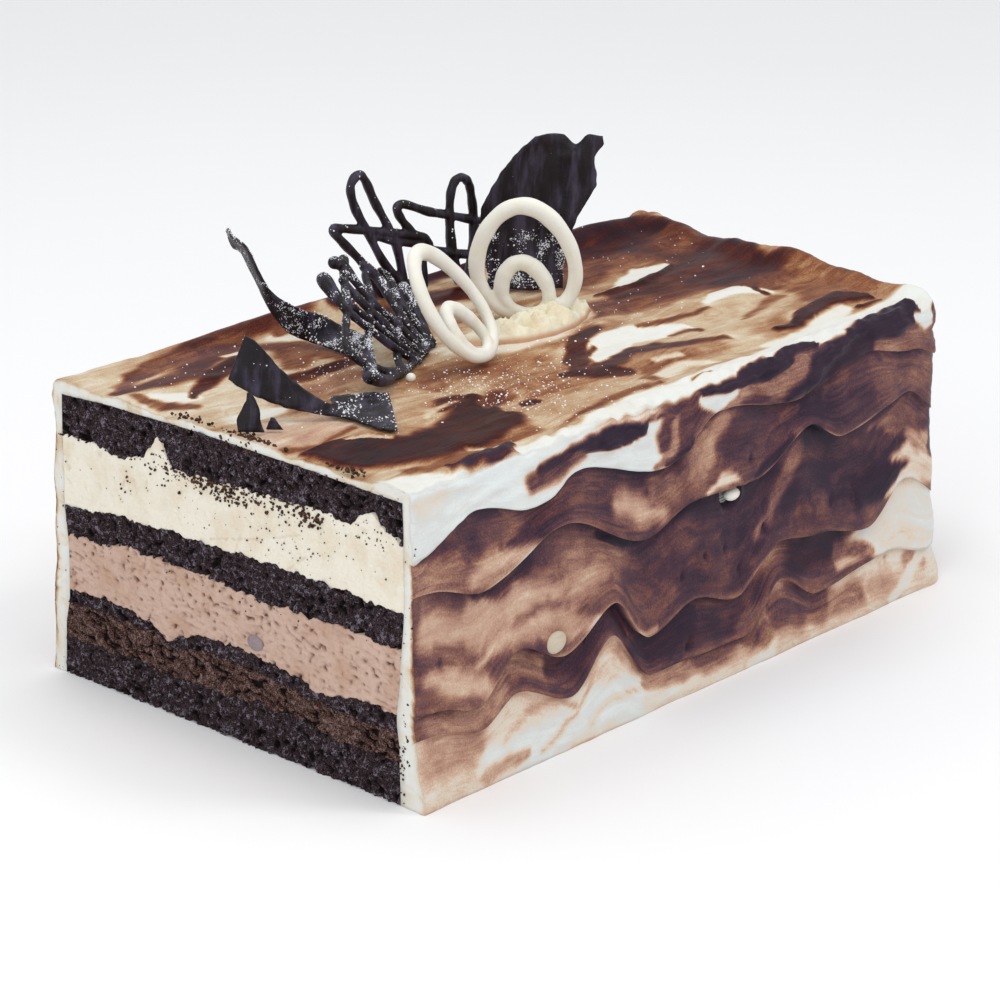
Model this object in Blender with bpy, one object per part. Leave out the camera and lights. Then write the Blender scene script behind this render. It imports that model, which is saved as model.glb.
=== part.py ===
"""A cut chocolate gateau bar: seven layers in a marbled icing coat, with chocolate ornaments on top.

Blender 4.5, metres, +Z up. The origin is the centre of the underside. +X runs along the bar, away
from the cut face, and +Y goes to its back long side.
"""
from math import cos, exp, pi, sin

import bmesh
import bpy
import numpy as np
from mathutils import Vector

MM = 0.001

# Driving sizes in mm.
LENGTH = 220.0
ICING_TOP = 79.5
GAP = 0.3
SEAT = ICING_TOP + GAP
CUT_X = -LENGTH / 2
CUT_SLANT = 2.6
END_X = 108.5
END_SLANT = 5.0
FRONT_TAPER = 3.5
BACK_TAPER = 7.0
END_WALL = 5.0
BACK_Y = 61.6
CORNER_PULL = 2.6
RIM_ROUNDING = 1.8
END_WIDTH = 112.0
# Distance walked round the sides: the front, the far end, then the back.
WAY_ROUND = 2 * LENGTH + END_WIDTH

# Outer face of the coat on the front long side at the cut, then the cavity's walls and ceiling.
COAT_FRONT = ((0, -65.0), (12, -63.4), (27, -62.0), (40, -61.2), (54, -60.6), (66, -60.0), (80, -58.8))
CAVITY_FRONT = ((0, -58.0), (13, -57.4), (22, -56.2), (33, -57.0), (49, -57.8), (67, -57.2), (78, -56.6))
CAVITY_BACK = ((0, 58.4), (13, 58.2), (22, 56.8), (33, 56.8), (49, 58.4), (67, 58.8), (78, 58.8))
CAVITY_CEILING = ((-60, 76.6), (-20, 77.2), (10, 77.4), (38, 76.8), (62, 75.6))

# Height of each layer's upper face across the cut, from the front side to the back.
BASE_TOP = ((-57, 11.0), (-40, 10.4), (-23, 12.3), (0, 11.0), (30, 10.6), (57, 10.4))
TRUFFLE_TOP = ((-57, 18.6), (-43, 18.0), (-23, 19.2), (-12, 20.2), (7, 20.6), (20, 18.2), (27, 20.4),
               (57, 20.2))
THIN_TOP = ((-57, 23.2), (-46, 23.3), (-33, 21.0), (-18, 23.6), (-3, 25.0), (8, 24.2), (17, 22.0),
            (21, 19.6), (26, 22.6), (42, 24.2), (57, 23.4))
MOUSSE_TOP = ((-57, 39.2), (-43, 40.4), (-18, 39.6), (17, 40.5), (37, 40.4), (48, 38.6), (57, 38.3))
MIDDLE_TOP = ((-57, 49.2), (-33, 49.8), (-23, 50.0), (17, 49.0), (37, 48.3), (57, 46.2))
CREAM_TOP = ((-57, 66.6), (-53, 68.4), (-48, 71.4), (-44, 69.6), (-41, 66.8), (-33, 67.8), (-13, 67.0),
             (7, 66.0), (19, 65.6), (21, 68.6), (24, 71.8), (27, 69.0), (29, 65.8), (37, 64.2), (47, 65.2),
             (57, 65.0))

# Wavy lips that the palette knife left round the sides: distance from the cut face, height.
LIPS = (
    ((0, 62), (21, 70.5), (44, 65.7), (61, 70.7), (93, 63.6), (119, 72.6), (150, 68.6), (184, 73.5),
     (205, 70)),
    ((6, 54), (23, 50), (54, 59), (86, 47), (106, 51.5), (133, 51), (156, 60.5), (171, 54), (203, 58.6)),
    ((7, 24), (21, 21), (36, 31.7), (54, 25), (73, 33.6), (88, 20.3), (107, 25), (125, 20.5), (144, 31),
     (160, 29), (184, 24.5), (203, 33.6)),
    ((7, 18), (23, 14.5), (36, 20), (57, 13), (74, 24), (89, 9.5), (130, 8.6), (145, 20), (161, 12),
     (195, 15)),
)
# Beyond the front side the lips wave about these levels.
LIP_LEVELS = (69.0, 53.5, 27.0, 14.0)
LIP_SPACING = 18.0
LIP_SWING = 4.2
LIP_HALF = 0.7
STROKE_DEPTH = 1.15
FOOT_SWELL = 0.9

ICING_CELLS = (36, 18)
LAYER_COLUMNS = 32
SPONGE_ROW = 4.0


def ease(t):
    """Smooth step from 0 to 1."""
    t = min(1.0, max(0.0, t))
    return t * t * (3 - 2 * t)


def along(knots, value, smooth=False):
    """Read a curve given as (place, height) knots, straight or smooth between them."""
    if value <= knots[0][0]:
        return knots[0][1]
    for (x0, y0), (x1, y1) in zip(knots, knots[1:]):
        if value <= x1:
            t = (value - x0) / (x1 - x0)
            return y0 + (y1 - y0) * (ease(t) if smooth else t)
    return knots[-1][1]


def material(name, colour, roughness, metallic=0.0):
    """A Principled material."""
    made = bpy.data.materials.new(name)
    made.use_nodes = True
    shader = made.node_tree.nodes["Principled BSDF"]
    shader.inputs["Base Color"].default_value = (*colour, 1.0)
    shader.inputs["Roughness"].default_value = roughness
    shader.inputs["Metallic"].default_value = metallic
    return made


def add_object(name, points, faces, finish=None):
    """Make a mesh object from points in mm, with its faces turned outwards."""
    mesh = bpy.data.meshes.new(name)
    mesh.from_pydata([tuple(MM * c for c in p) for p in points], [], faces)
    shape = bmesh.new()
    shape.from_mesh(mesh)
    bmesh.ops.recalc_face_normals(shape, faces=shape.faces)
    shape.to_mesh(mesh)
    shape.free()
    mesh.shade_smooth()
    mesh.set_sharp_from_angle(angle=0.7)
    made = bpy.data.objects.new(name, mesh)
    bpy.context.scene.collection.objects.link(made)
    if finish:
        mesh.materials.append(finish)
    return made


def block_skin(cells):
    """Index points and quads of the skin of a block of cells, as ((i, j, k) -> number, quads)."""
    ni, nj, nk = cells
    number = {}

    def corner(i, j, k):
        return number.setdefault((i, j, k), len(number))

    quads = []
    for end, flip in ((0, False), (1, True)):
        i, j, k = end * ni, end * nj, end * nk
        sides = [[corner(a, b, k), corner(a, b + 1, k), corner(a + 1, b + 1, k), corner(a + 1, b, k)]
                 for a in range(ni) for b in range(nj)]
        sides += [[corner(i, b, c), corner(i, b, c + 1), corner(i, b + 1, c + 1), corner(i, b + 1, c)]
                  for b in range(nj) for c in range(nk)]
        sides += [[corner(a, j, c), corner(a + 1, j, c), corner(a + 1, j, c + 1), corner(a, j, c + 1)]
                  for a in range(ni) for c in range(nk)]
        quads += [q[::-1] if flip else q for q in sides]
    return number, quads


def add_block(name, cells, place, finish=None, flat_sides=()):
    """Make a block whose skin points are moved by place(i, j, k); flat sides become one face each."""
    number, quads = block_skin(cells)
    points = [place(*key) for key in number]
    made = add_object(name, points, quads, finish)
    keys = list(number)
    for axis, value in flat_sides:
        shape = bmesh.new()
        shape.from_mesh(made.data)
        shape.verts.ensure_lookup_table()
        on_side = {v for v, key in zip(shape.verts, keys) if key[axis] == value}
        faces = [f for f in shape.faces if all(v in on_side for v in f.verts)]
        bmesh.ops.dissolve_faces(shape, faces=faces, use_verts=False)
        kept = [keys[v.index] for v in shape.verts]
        shape.to_mesh(made.data)
        shape.free()
        keys = kept
    return made


def apply_boolean(target, cutter_list, operation):
    """Apply one exact Boolean with a collection of objects, then remove these."""
    group = bpy.data.collections.new(target.name + "_tools")
    bpy.context.scene.collection.children.link(group)
    for cutter in cutter_list:
        group.objects.link(cutter)
        cutter.hide_render = True
        cutter.display_type = "WIRE"
    boolean = target.modifiers.new("join", "BOOLEAN")
    boolean.operation = operation
    boolean.solver = "EXACT"
    boolean.operand_type = "COLLECTION"
    boolean.collection = group
    graph = bpy.context.evaluated_depsgraph_get()
    result = bpy.data.meshes.new_from_object(target.evaluated_get(graph))
    target.modifiers.clear()
    old = target.data
    target.data = result
    bpy.data.meshes.remove(old)
    for cutter in cutter_list:
        bpy.data.objects.remove(cutter)
    bpy.data.collections.remove(group)


# Plan of the cake: share is 0 at the cut and 1 at the far end, side is 0 at the front and 1 at the back.
def cut_x(side):
    """Where the cut face is: it runs a little askew."""
    return CUT_X - CUT_SLANT * side


def end_x(side):
    """Where the far end is."""
    return END_X + END_SLANT * side


def tapered(front, back, share, side):
    """A point across the cake between two walls that close in towards the far end."""
    y0 = front + FRONT_TAPER * share
    y1 = back - BACK_TAPER * share
    return y0 + (y1 - y0) * side


def lip_knots(index):
    """The front side's lips, carried on round the far end and the back by a seeded wave."""
    draw = np.random.default_rng(70 + index)
    knots = list(LIPS[index])
    level = LIP_LEVELS[index]
    place = knots[-1][0]
    turn = 1
    while place < WAY_ROUND + LIP_SPACING:
        place += LIP_SPACING * draw.uniform(0.8, 1.2)
        knots.append((place, level - turn * LIP_SWING * draw.uniform(0.6, 1.1)))
        turn = -turn
    return knots


LIP_CURVES = [lip_knots(index) for index in range(len(LIPS))]


def lips_at(walk):
    """Heights of the four lips, from the top down, at a distance round the cake."""
    return [along(knots, walk, smooth=True) for knots in LIP_CURVES]


def stroke_relief(walk, height):
    """How far the coat stands out: each stroke swells down to its lip and steps back under it."""
    levels = [ICING_TOP, *lips_at(walk), 0.0]
    for upper, lower in zip(levels, levels[1:]):
        if height >= lower:
            t = (upper - height) / (upper - lower)
            start = 0.0 if upper == ICING_TOP else -1.0
            return STROKE_DEPTH * (start + (1 - start) * ease(t))
    return FOOT_SWELL


def coat_rows(walk):
    """Heights of the coat's rows of points: two at each lip and one in each band between."""
    heights = [0.0]
    lower = 0.0
    for lip in reversed(lips_at(walk)):
        heights += [(lower + lip) / 2, lip - LIP_HALF, lip + LIP_HALF]
        lower = lip
    return heights + [(lower + ICING_TOP) / 2, ICING_TOP]


def rim_height(x, y):
    """Raised lumpy rims along the front, the back and the far end of the top."""
    share = (x - CUT_X) / LENGTH
    from_front = y - tapered(COAT_FRONT[-1][1], BACK_Y, share, 0)
    from_back = tapered(COAT_FRONT[-1][1], BACK_Y, share, 1) - y
    from_end = END_X + END_SLANT / 2 - x

    def bank(distance, width):
        return exp(-((distance - 4.0) / width) ** 2)

    front = 1.5 * (0.75 + 0.25 * sin(x / 7.0)) * bank(from_front, 4.5)
    back = (4.2 + 0.5 * sin(x / 11.0)) * ease((x + 100) / 75) * bank(from_back, 4.5)
    end = (3.2 + 1.2 * cos((y + 2) / 9.0)) * ease((y + 56) / 14) * bank(from_end, 5.5)
    return max(front, back, end)


# Flat seats on the icing where ornaments stand: centre x, y and radii.
SEATS = ((-108, -6, 12, 12), (-72, -11, 24, 24), (-42, 12, 26, 24), (3, 6, 36, 18), (32, 32, 18, 18),
         (16, 48, 34, 9))
KNIFE_STROKE = 0.45


def seat_cover(x, y):
    """1 on a flat seat, falling to 0 round it."""
    cover = 0.0
    for centre_x, centre_y, radius_x, radius_y in SEATS:
        distance = (((x - centre_x) / radius_x) ** 2 + ((y - centre_y) / radius_y) ** 2) ** 0.5
        cover = max(cover, 1 - ease((distance - 0.7) / 0.5))
    return cover


def top_height(x, y):
    """Height of the icing's top, with low knife strokes along the bar and flat seats."""
    stroke = KNIFE_STROKE * (1 + sin(y / 3.4 + 1.6 * sin(x / 31.0)))
    return ICING_TOP + (rim_height(x, y) - stroke) * (1 - seat_cover(x, y))


def way_round(i, j, cells):
    """Distance walked round the sides to a point of the coat's wall."""
    share, side = i / cells[0], j / cells[1]
    if j == 0:
        return share * LENGTH
    if i == cells[0]:
        return LENGTH + END_WIDTH * side
    return LENGTH + END_WIDTH + (1 - share) * LENGTH


def coat_point(i, j, k, rows):
    """A skin point of the coat's outer block."""
    ni, nj = ICING_CELLS
    share, side = i / ni, j / nj
    x = cut_x(side) + (end_x(side) - cut_x(side)) * share
    nominal_y = tapered(COAT_FRONT[-1][1], BACK_Y, share, side)
    on_wall = i == ni or j in (0, nj)
    if not on_wall:
        z = {0: 0.0, rows: top_height(x, nominal_y)}.get(k)
        if z is None:
            z = coat_rows(nominal_y)[k]
        return x, nominal_y, z
    walk = way_round(i, j, ICING_CELLS)
    z = coat_rows(walk)[k]
    front = along(COAT_FRONT, z)
    y = tapered(front, BACK_Y, share, side)
    out = stroke_relief(walk, z) if 0 < k < rows else 0.0
    if k == rows:
        out -= RIM_ROUNDING
        z = ICING_TOP - 0.4 + 0.7 * rim_height(x, nominal_y)
    if i == 0:
        out *= 0.5
    at_corner = i == ni and j in (0, nj)
    if j == 0:
        y -= out - (CORNER_PULL if at_corner else 0)
    if j == nj:
        y += out - (CORNER_PULL if at_corner else 0)
    if i == ni:
        x += out - (CORNER_PULL if at_corner else 0)
    return x, y, z


def cavity_point(i, j, k):
    """A skin point of the cutter that hollows the coat, open at the cut face and below."""
    wall_heights = [knot[0] for knot in CAVITY_FRONT]
    columns = len(CAVITY_CEILING) - 1
    side = j / columns
    level = wall_heights[k]
    front, back = along(CAVITY_FRONT, level), along(CAVITY_BACK, level)
    share = i * (1 - END_WALL / LENGTH)
    y = tapered(front, back, share, side)
    x = end_x(side) - END_WALL if i else CUT_X - 12
    if k == 0:
        return x, y, -8.0
    if k == len(wall_heights) - 1:
        return x, y, along(CAVITY_CEILING, y)
    return x, y, level


def make_coat(finish):
    """The icing: the wavy outer block, hollowed for the layers."""
    rows = len(coat_rows(0)) - 1
    cells = (*ICING_CELLS, rows)
    coat = add_block("icing_coat", cells, lambda i, j, k: coat_point(i, j, k, rows), finish,
                     flat_sides=((2, 0), (0, 0)))
    cavity_cells = (1, len(CAVITY_CEILING) - 1, len(CAVITY_FRONT) - 1)
    cavity = add_block("cavity", cavity_cells, cavity_point)
    apply_boolean(coat, [cavity], "DIFFERENCE")
    coat.data.shade_smooth()
    coat.data.set_sharp_from_angle(angle=0.7)


def make_layer(name, lower, upper, finish, crumb, seed):
    """One layer across the whole cavity, between two height curves, with a crumbly cut face."""
    draw = np.random.default_rng(seed)
    thickest = max(height for _, height in upper) - min(height for _, height in lower)
    rows = max(1, round(thickest / SPONGE_ROW))
    rough = draw.uniform(-crumb, crumb, (LAYER_COLUMNS + 1, rows + 1))

    def place(i, j, k):
        side = j / LAYER_COLUMNS
        share = i * (1 - END_WALL / LENGTH)
        across = tapered(CAVITY_FRONT[0][1], CAVITY_BACK[0][1], 0, side)
        low = along(lower, across) + (GAP / 2 if lower[0][1] > 0 else 0)
        high = along(upper, across) - GAP / 2
        z = low + (high - low) * k / rows
        y = tapered(along(CAVITY_FRONT, z) + 0.45, along(CAVITY_BACK, z) - 0.45, share, side)
        x = cut_x(side) + rough[j, k] if i == 0 else end_x(side) - END_WALL - 0.4
        return x, y, z

    add_block(name, (1, LAYER_COLUMNS, rows), place, finish, flat_sides=((0, 1),))


def lowered(curve, amount):
    """The same curve a little lower."""
    return tuple((place, height - amount) for place, height in curve)


def make_layers(looks):
    """The seven layers that the cut shows, from the underside up."""
    floor = ((-60, 0.0), (60, 0.0))
    make_layer("sponge_base", floor, BASE_TOP, looks["sponge"], 0.5, 1)
    make_layer("truffle_layer", BASE_TOP, TRUFFLE_TOP, looks["truffle"], 0.45, 2)
    make_layer("sponge_thin", TRUFFLE_TOP, THIN_TOP, looks["sponge"], 0.4, 3)
    make_layer("mousse_layer", THIN_TOP, MOUSSE_TOP, looks["mousse"], 0.3, 4)
    make_layer("sponge_middle", MOUSSE_TOP, MIDDLE_TOP, looks["sponge"], 0.5, 5)
    make_layer("cream_layer", MIDDLE_TOP, CREAM_TOP, looks["cream"], 0.25, 6)
    make_layer("sponge_top", CREAM_TOP, lowered(CAVITY_CEILING, GAP), looks["sponge"], 0.5, 7)


class Stand:
    """A plane that an ornament was made in: across and rise are its two directions, back its third."""

    def __init__(self, foot, across, rise=(0, 0, 1)):
        self.foot = Vector(foot)
        self.across = Vector(across).normalized()
        rise = Vector(rise)
        self.rise = (rise - self.across * rise.dot(self.across)).normalized()
        self.back = self.rise.cross(self.across)

    def at(self, a, b, depth=0.0):
        """The point a along, b up and depth behind."""
        return self.foot + self.across * a + self.rise * b + self.back * depth


def smooth_curve(knots, steps):
    """Points on a Catmull-Rom curve through the knots, the ends included."""
    padded = [2 * knots[0] - knots[1], *knots, 2 * knots[-1] - knots[-2]]
    points = []
    for p0, p1, p2, p3 in zip(padded, padded[1:], padded[2:], padded[3:]):
        for step in range(steps):
            t = step / steps
            points.append(0.5 * ((2 * p1) + (p2 - p0) * t + (2 * p0 - 5 * p1 + 4 * p2 - p3) * t ** 2
                                 + (3 * p1 - p0 - 3 * p2 + p3) * t ** 3))
    points.append(knots[-1])
    return points


def add_strand(name, points, radii, plane_normal, sides=6, closed=False, flatness=1.0, finish=None):
    """A piped strand along the points, flattened towards the plane it was piped on."""
    count = len(points)
    flat = Vector(plane_normal).normalized()
    rings = []
    for index, point in enumerate(points):
        before = points[(index - 1) % count] if closed or index else point
        after = points[(index + 1) % count] if closed or index < count - 1 else point
        heading = (after - before).normalized()
        outward = heading.cross(flat).normalized()
        lift = outward.cross(heading).normalized()
        for corner in range(sides):
            angle = 2 * pi * (corner + 0.5) / sides
            rings.append(point + radii[index] * (outward * cos(angle) + lift * (sin(angle) * flatness)))
    faces = []
    for index in range(count if closed else count - 1):
        a, b = index * sides, (index + 1) % count * sides
        faces += [(a + c, a + (c + 1) % sides, b + (c + 1) % sides, b + c) for c in range(sides)]
    if not closed:
        faces.append(tuple(range(sides)))
        faces.append(tuple(range((count - 1) * sides, count * sides)))
    return add_object(name, rings, faces, finish)


def piped_radii(count, radius, blob_start, blob_end):
    """Radii along a strand: a blob where piping began or ended, rounded off at each tip."""
    radii = []
    for index in range(count):
        near_start, near_end = exp(-(index / 3.0) ** 2), exp(-((count - 1 - index) / 3.0) ** 2)
        radii.append(radius + blob_start * near_start + blob_end * near_end)
    radii[0] *= 0.6
    radii[-1] *= 0.6
    return radii


def make_piped(name, stand, strands, radius, finish):
    """Strands piped across each other in one plane and set as one piece."""
    pieces = []
    for number, (knots, blob_start, blob_end) in enumerate(strands):
        line = smooth_curve([stand.at(*knot, 0.11 * number) for knot in knots], 2)
        line = [Vector((p.x, p.y, max(p.z, SEAT + radius))) for p in line]
        radii = piped_radii(len(line), radius, blob_start, blob_end)
        pieces.append(add_strand(f"{name}_{number}", line, radii, stand.back, finish=finish))
    whole = pieces[0]
    whole.name = name
    apply_boolean(whole, pieces[1:], "UNION")


# Piped strands: their knots along and up the plane, then the size of the blob at each end.
BACK_LATTICE_STAND = Stand((22, 46, ICING_TOP), (0.985, -0.17, 0))
BACK_LATTICE = (
    (((-18, 2), (-26, 9.5), (-33, 20.8), (-37, 27.8), (-38.4, 33.5), (-36, 36.4), (-33.6, 34.5),
      (-30.5, 28.4), (-26.2, 21.3), (-22.6, 14.4), (-19.5, 2)), 0, 0),
    (((-27, 2), (-33.7, 11.3), (-40.3, 18.1), (-44, 22.4), (-40.7, 22.3), (-29.2, 19.8), (-18.4, 17.2),
      (-13.4, 15.6), (-11.6, 13), (-13.5, 10.5), (-13, 2)), 0, 0),
    (((-12.4, 12.4), (-4.5, 9.9), (3.8, 8.0)), 0, 0),
    (((-30, 18.6), (-21.4, 15.6), (-14, 14)), 0, 0),
    (((-16.5, 16.8), (-20.4, 21.1), (-22.4, 24.6), (-20.6, 26), (-11.9, 22.6), (-6, 20.9), (3.9, 17.8),
      (10, 15.4)), 0, 0),
    (((-0.8, 1), (-3.3, 10.7), (-4.3, 19), (-4.2, 26.4), (-2.6, 30), (-0.2, 30.4), (1.8, 28.6), (2.9, 25),
      (4, 17.7), (3.9, 9.2), (2.8, 1)), 0.3, 0.3),
)

FRONT_LATTICE_STAND = Stand((-36, 5.5, ICING_TOP), (0.871, 0.491, 0), (-0.349, 0.62, 0.702))
FRONT_LATTICE = (
    (((-12.2, 33.6), (-14, 28.6), (-14.8, 24.5), (-14.2, 21.3), (-12.2, 16.7), (-7.9, 7.6), (-3, 1.5)),
     0.9, 0),
    (((-10.6, 24.6), (-8.1, 18.3), (-4.7, 9.2), (-1, 1.5)), 0, 0),
    (((-3, 30), (-3.1, 21.3), (-1.3, 13.1), (1.5, 1.5)), 0, 0),
    (((1.6, 34.6), (4.6, 32.4), (3.2, 26.5), (2.8, 18), (5, 9.7), (4.5, 1.5)), 0.7, 0),
    (((15.5, 28.2), (16.6, 24), (14.9, 20.6), (11.2, 13.7), (9, 4), (7, 1.5)), 0.5, 0),
    (((22, 24.4), (22.6, 21), (18, 16.2), (14.8, 6.8), (10.5, 1.5)), 0, 0),
    (((26, 17), (22.6, 12.7), (18.2, 7.2), (12.6, 1.5)), 0.7, 0.4),
    (((8.6, 33.4), (2, 30.6), (-6, 27), (-11.6, 23.8), (-16.3, 22.8), (-22.6, 20.8), (-28, 18.8),
      (-30.4, 16), (-29.2, 12.8), (-23.7, 8), (-17.7, 4.9), (-8, 2.2)), 0.3, 0),
    (((16.4, 27.6), (11.8, 26), (4.8, 21.2), (-2.4, 19.6), (-7.3, 17.4), (-17.7, 14.3), (-25.8, 10.4),
      (-31, 8.6)), 0, 0.9),
    (((-31, 8.4), (-26, 5.2), (-20.4, 3.9), (-9.9, 2.3)), 0.8, 0),
    (((18.4, 15.2), (8.3, 11.9), (3, 10.4), (-6.4, 7.4), (-13.8, 3)), 0, 0),
    (((-13.8, 2.4), (-6, 1.8), (4, 1.8), (12.8, 2.4)), 0, 0),
)


def egg(width, height, count, lift=0.0, shift=0.0):
    """A closed egg-shaped line, widest below its middle, as (a, b) pairs from the bottom round."""
    line = []
    for step in range(count):
        turn = 2 * pi * step / count
        b = height / 2 * (1 - cos(turn))
        lean = 1 + 0.16 * cos(turn)
        line.append((width / 2 * sin(turn) * lean + shift * b / height, b + lift))
    return line


def loop_strands(name, stand, tall, lean, swell=0.0, finish=None):
    """The two closed strands of a white loop, each fattened by swell."""
    pieces = []
    for index, (width, height, count) in enumerate(((26.0, tall, 24), (12.4, 0.47 * tall, 16))):
        line = [stand.at(*point) for point in egg(width, height, count, lift=index * 0.6, shift=lean)]
        radii = [2.35 - 0.25 * cos(2 * pi * step / count) + swell for step in range(count)]
        pieces.append(add_strand(f"{name}_{index}", line, radii, stand.back, 8, True, 0.86, finish))
    return pieces


def make_loop(name, stand, tall, lean, finish):
    """A white ornament: a small egg-shaped loop piped inside a large one, joined at the foot."""
    large, small = loop_strands(name, stand, tall, lean, finish=finish)
    apply_boolean(large, [small], "UNION")
    large.name = name


# The way from the cut's back corner to its front one and on: most ornaments face across it.
VIEW_ACROSS = (0.669, -0.744, 0)
# Each white loop: the plane it stands in, its height and how far its top leans along the plane.
UPRIGHT_LOOP = (Stand((11.2, 11.9, SEAT + 3.4), VIEW_ACROSS), 27.8, -2.4)
LEANING_LOOP = (Stand((-25.7, -6.3, SEAT + 2.4), (0.938, 0.347, 0), (-0.183, 0.496, 0.849)), 31.5, -7.0)

# Spine of the cream dab that holds the loops: x, y, half width, height.
DAB_SPINE = ((-19, 8.0, 1.5, 0.6), (-14, 7.2, 5.0, 3.2), (-6, 4.8, 6.6, 4.8), (3, 3.8, 7.0, 5.4),
             (12, 4.4, 6.8, 5.6), (20, 6.6, 6.0, 5.0), (27, 9.4, 4.8, 4.0), (32, 11.6, 1.5, 0.8))
DAB_COLUMNS = 6


def make_dab(finish):
    """The ridge of cream that the white loops stand in, grooved where they pass through it."""
    def place(i, j, k):
        x, y, half, height = DAB_SPINE[i]
        across = 2 * j / DAB_COLUMNS - 1
        lump = 1 + 0.12 * sin(2.3 * i + 1.7 * j)
        arch = height * lump * (1 - across ** 2) ** 0.5 + 0.35
        return x - 0.33 * half * across, y + 0.94 * half * across, SEAT + (arch if k else 0.0)

    dab = add_block("cream_dab", (len(DAB_SPINE) - 1, DAB_COLUMNS, 1), place, finish)
    for loop in (UPRIGHT_LOOP, LEANING_LOOP):
        apply_boolean(dab, loop_strands("groove", *loop, swell=1.3 * GAP), "DIFFERENCE")


def add_leaf(name, rows, thickness, finish):
    """A thin wavy sheet of chocolate through rows of points, closed round its edge."""
    grid = np.array([[tuple(point) for point in row] for row in rows])
    along_rows = np.gradient(grid, axis=0)
    across_rows = np.gradient(grid, axis=1)
    normal = np.cross(along_rows, across_rows)
    normal /= np.maximum(np.linalg.norm(normal, axis=2, keepdims=True), 1e-6)
    count_rows, count_columns = grid.shape[:2]
    skins = [grid + normal * thickness / 2, grid - normal * thickness / 2]
    points = [tuple(p) for skin in skins for p in skin.reshape(-1, 3)]
    size = count_rows * count_columns
    faces = []
    for r in range(count_rows - 1):
        for c in range(count_columns - 1):
            a = r * count_columns + c
            b, d, e = a + 1, a + count_columns, a + count_columns + 1
            faces += [(a, b, e), (a, e, d)]
            faces += [(a + size, e + size, b + size), (a + size, d + size, e + size)]
    edge = list(range(count_columns))
    edge += [r * count_columns + count_columns - 1 for r in range(1, count_rows)]
    edge += [(count_rows - 1) * count_columns + c for c in range(count_columns - 2, -1, -1)]
    edge += [r * count_columns for r in range(count_rows - 2, 0, -1)]
    for a, b in zip(edge, edge[1:] + edge[:1]):
        faces.append((a, b, b + size, a + size))
    return add_object(name, points, faces, finish)


def edge_rows(stand, edges, columns, wave=0.0):
    """Rows of points between two edges, each given as (a, b, depth), with a wave in their depth."""
    rows = []
    for number, (one, two) in enumerate(edges):
        row = []
        for column in range(columns + 1):
            t = column / columns
            a, b, depth = (p + (q - p) * t for p, q in zip(one, two))
            row.append(stand.at(a, b, depth + wave * sin(pi * t) * cos(0.5 * number)))
        rows.append(row)
    return rows


# The tall shard's left and right edges against its height, and its ragged crest.
TALL_SHARD = ((0.6, -9.9, 10.4), (6, -10.4, 10.4), (12, -11.5, 11.2), (18, -12.6, 12.7), (22, -12.6, 14.2),
              (26, -10.8, 16.6), (30, -8.9, 18.7), (34, -6.5, 18.4), (38, -3.5, 18.1), (41, -0.8, 20.3),
              (43.2, 1.9, 19.9))
TALL_CREST = (0.0, 0.5, 0.2, -2.2, 0.9, 0.4)
TALL_COLUMNS = 5


def make_tall_shard(finish):
    """The tall torn shard: a bent sheet with soft lengthwise folds, curled forward at its foot."""
    stand = Stand((31, 31, SEAT), VIEW_ACROSS)
    rows = []
    for number, (height, left, right) in enumerate(TALL_SHARD):
        row = []
        for column in range(TALL_COLUMNS + 1):
            t = column / TALL_COLUMNS
            crest = TALL_CREST[column] if number == len(TALL_SHARD) - 1 else 0.0
            fold = 1.6 * sin(pi * t) + 0.7 * sin(9 * t + 0.1 * height)
            curl = -4.5 * (1 - height / 16) ** 2 if height < 16 else 0.0
            row.append(stand.at(left + (right - left) * t, height + crest, fold + curl * sin(pi * t)))
        rows.append(row)
    add_leaf("shard_tall", rows, 1.3, finish)


# The curled and the fanned shard: the two edges of each, from the tip to the foot.
CURL_STAND = Stand((-47, 27, SEAT), VIEW_ACROSS)
CURL_EDGES = (
    ((-28.2, 31.4, 3.4), (-28.6, 30.2, 4.6)), ((-26.5, 29.6, 2), (-27.3, 26.0, 6)),
    ((-23.6, 27.6, 1.4), (-24.8, 24.0, 6.4)), ((-21.9, 24.9, 1.4), (-22.8, 20.0, 6.2)),
    ((-19.6, 19.8, 1.8), (-20.7, 16.0, 6)), ((-17.2, 14.6, 2), (-18.2, 12.6, 5.4)),
    ((-14, 11.6, 2.4), (-15.6, 9.4, 4)), ((-9.7, 8.0, 3.4), (-11, 4.8, 3)),
    ((-4.1, 6.0, 6), (-6.4, 1.8, 3.6)), ((1.6, 4.6, 7.4), (-2.6, 0.8, 1.4)),
    ((6.4, 3.6, 4.4), (2.4, 0.8, -3.4)), ((9, 2.6, 1), (6.6, 0.8, -5.6)),
)

FAN_STAND = Stand((-84, -14, SEAT), VIEW_ACROSS)
FAN_EDGES = (
    ((-25.5, 21.2, 0.4), (-29.5, 10.2, -0.4)), ((-22.1, 18.8, 0.6), (-26.3, 8.0, -0.6)),
    ((-18.3, 14.4, 0.8), (-21.8, 5.6, -0.8)), ((-14.1, 10.2, 0.8), (-17.2, 4.0, -0.8)),
    ((-9.7, 6.8, 1), (-12.4, 2.8, -0.8)), ((-5.4, 4.2, 1.4), (-7.4, 1.8, -0.6)),
    ((-1.6, 2.6, 3.4), (-2.4, 1.2, 0)), ((-2.0, 1.6, 11), (1.2, 0.9, -1.6)),
    ((0.6, 1.1, 17), (5.2, 0.9, -5)),
    ((4.6, 0.9, 19.6), (9.2, 0.9, -8)), ((9.2, 0.9, 19), (12.0, 0.9, -8.2)),
)

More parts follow.
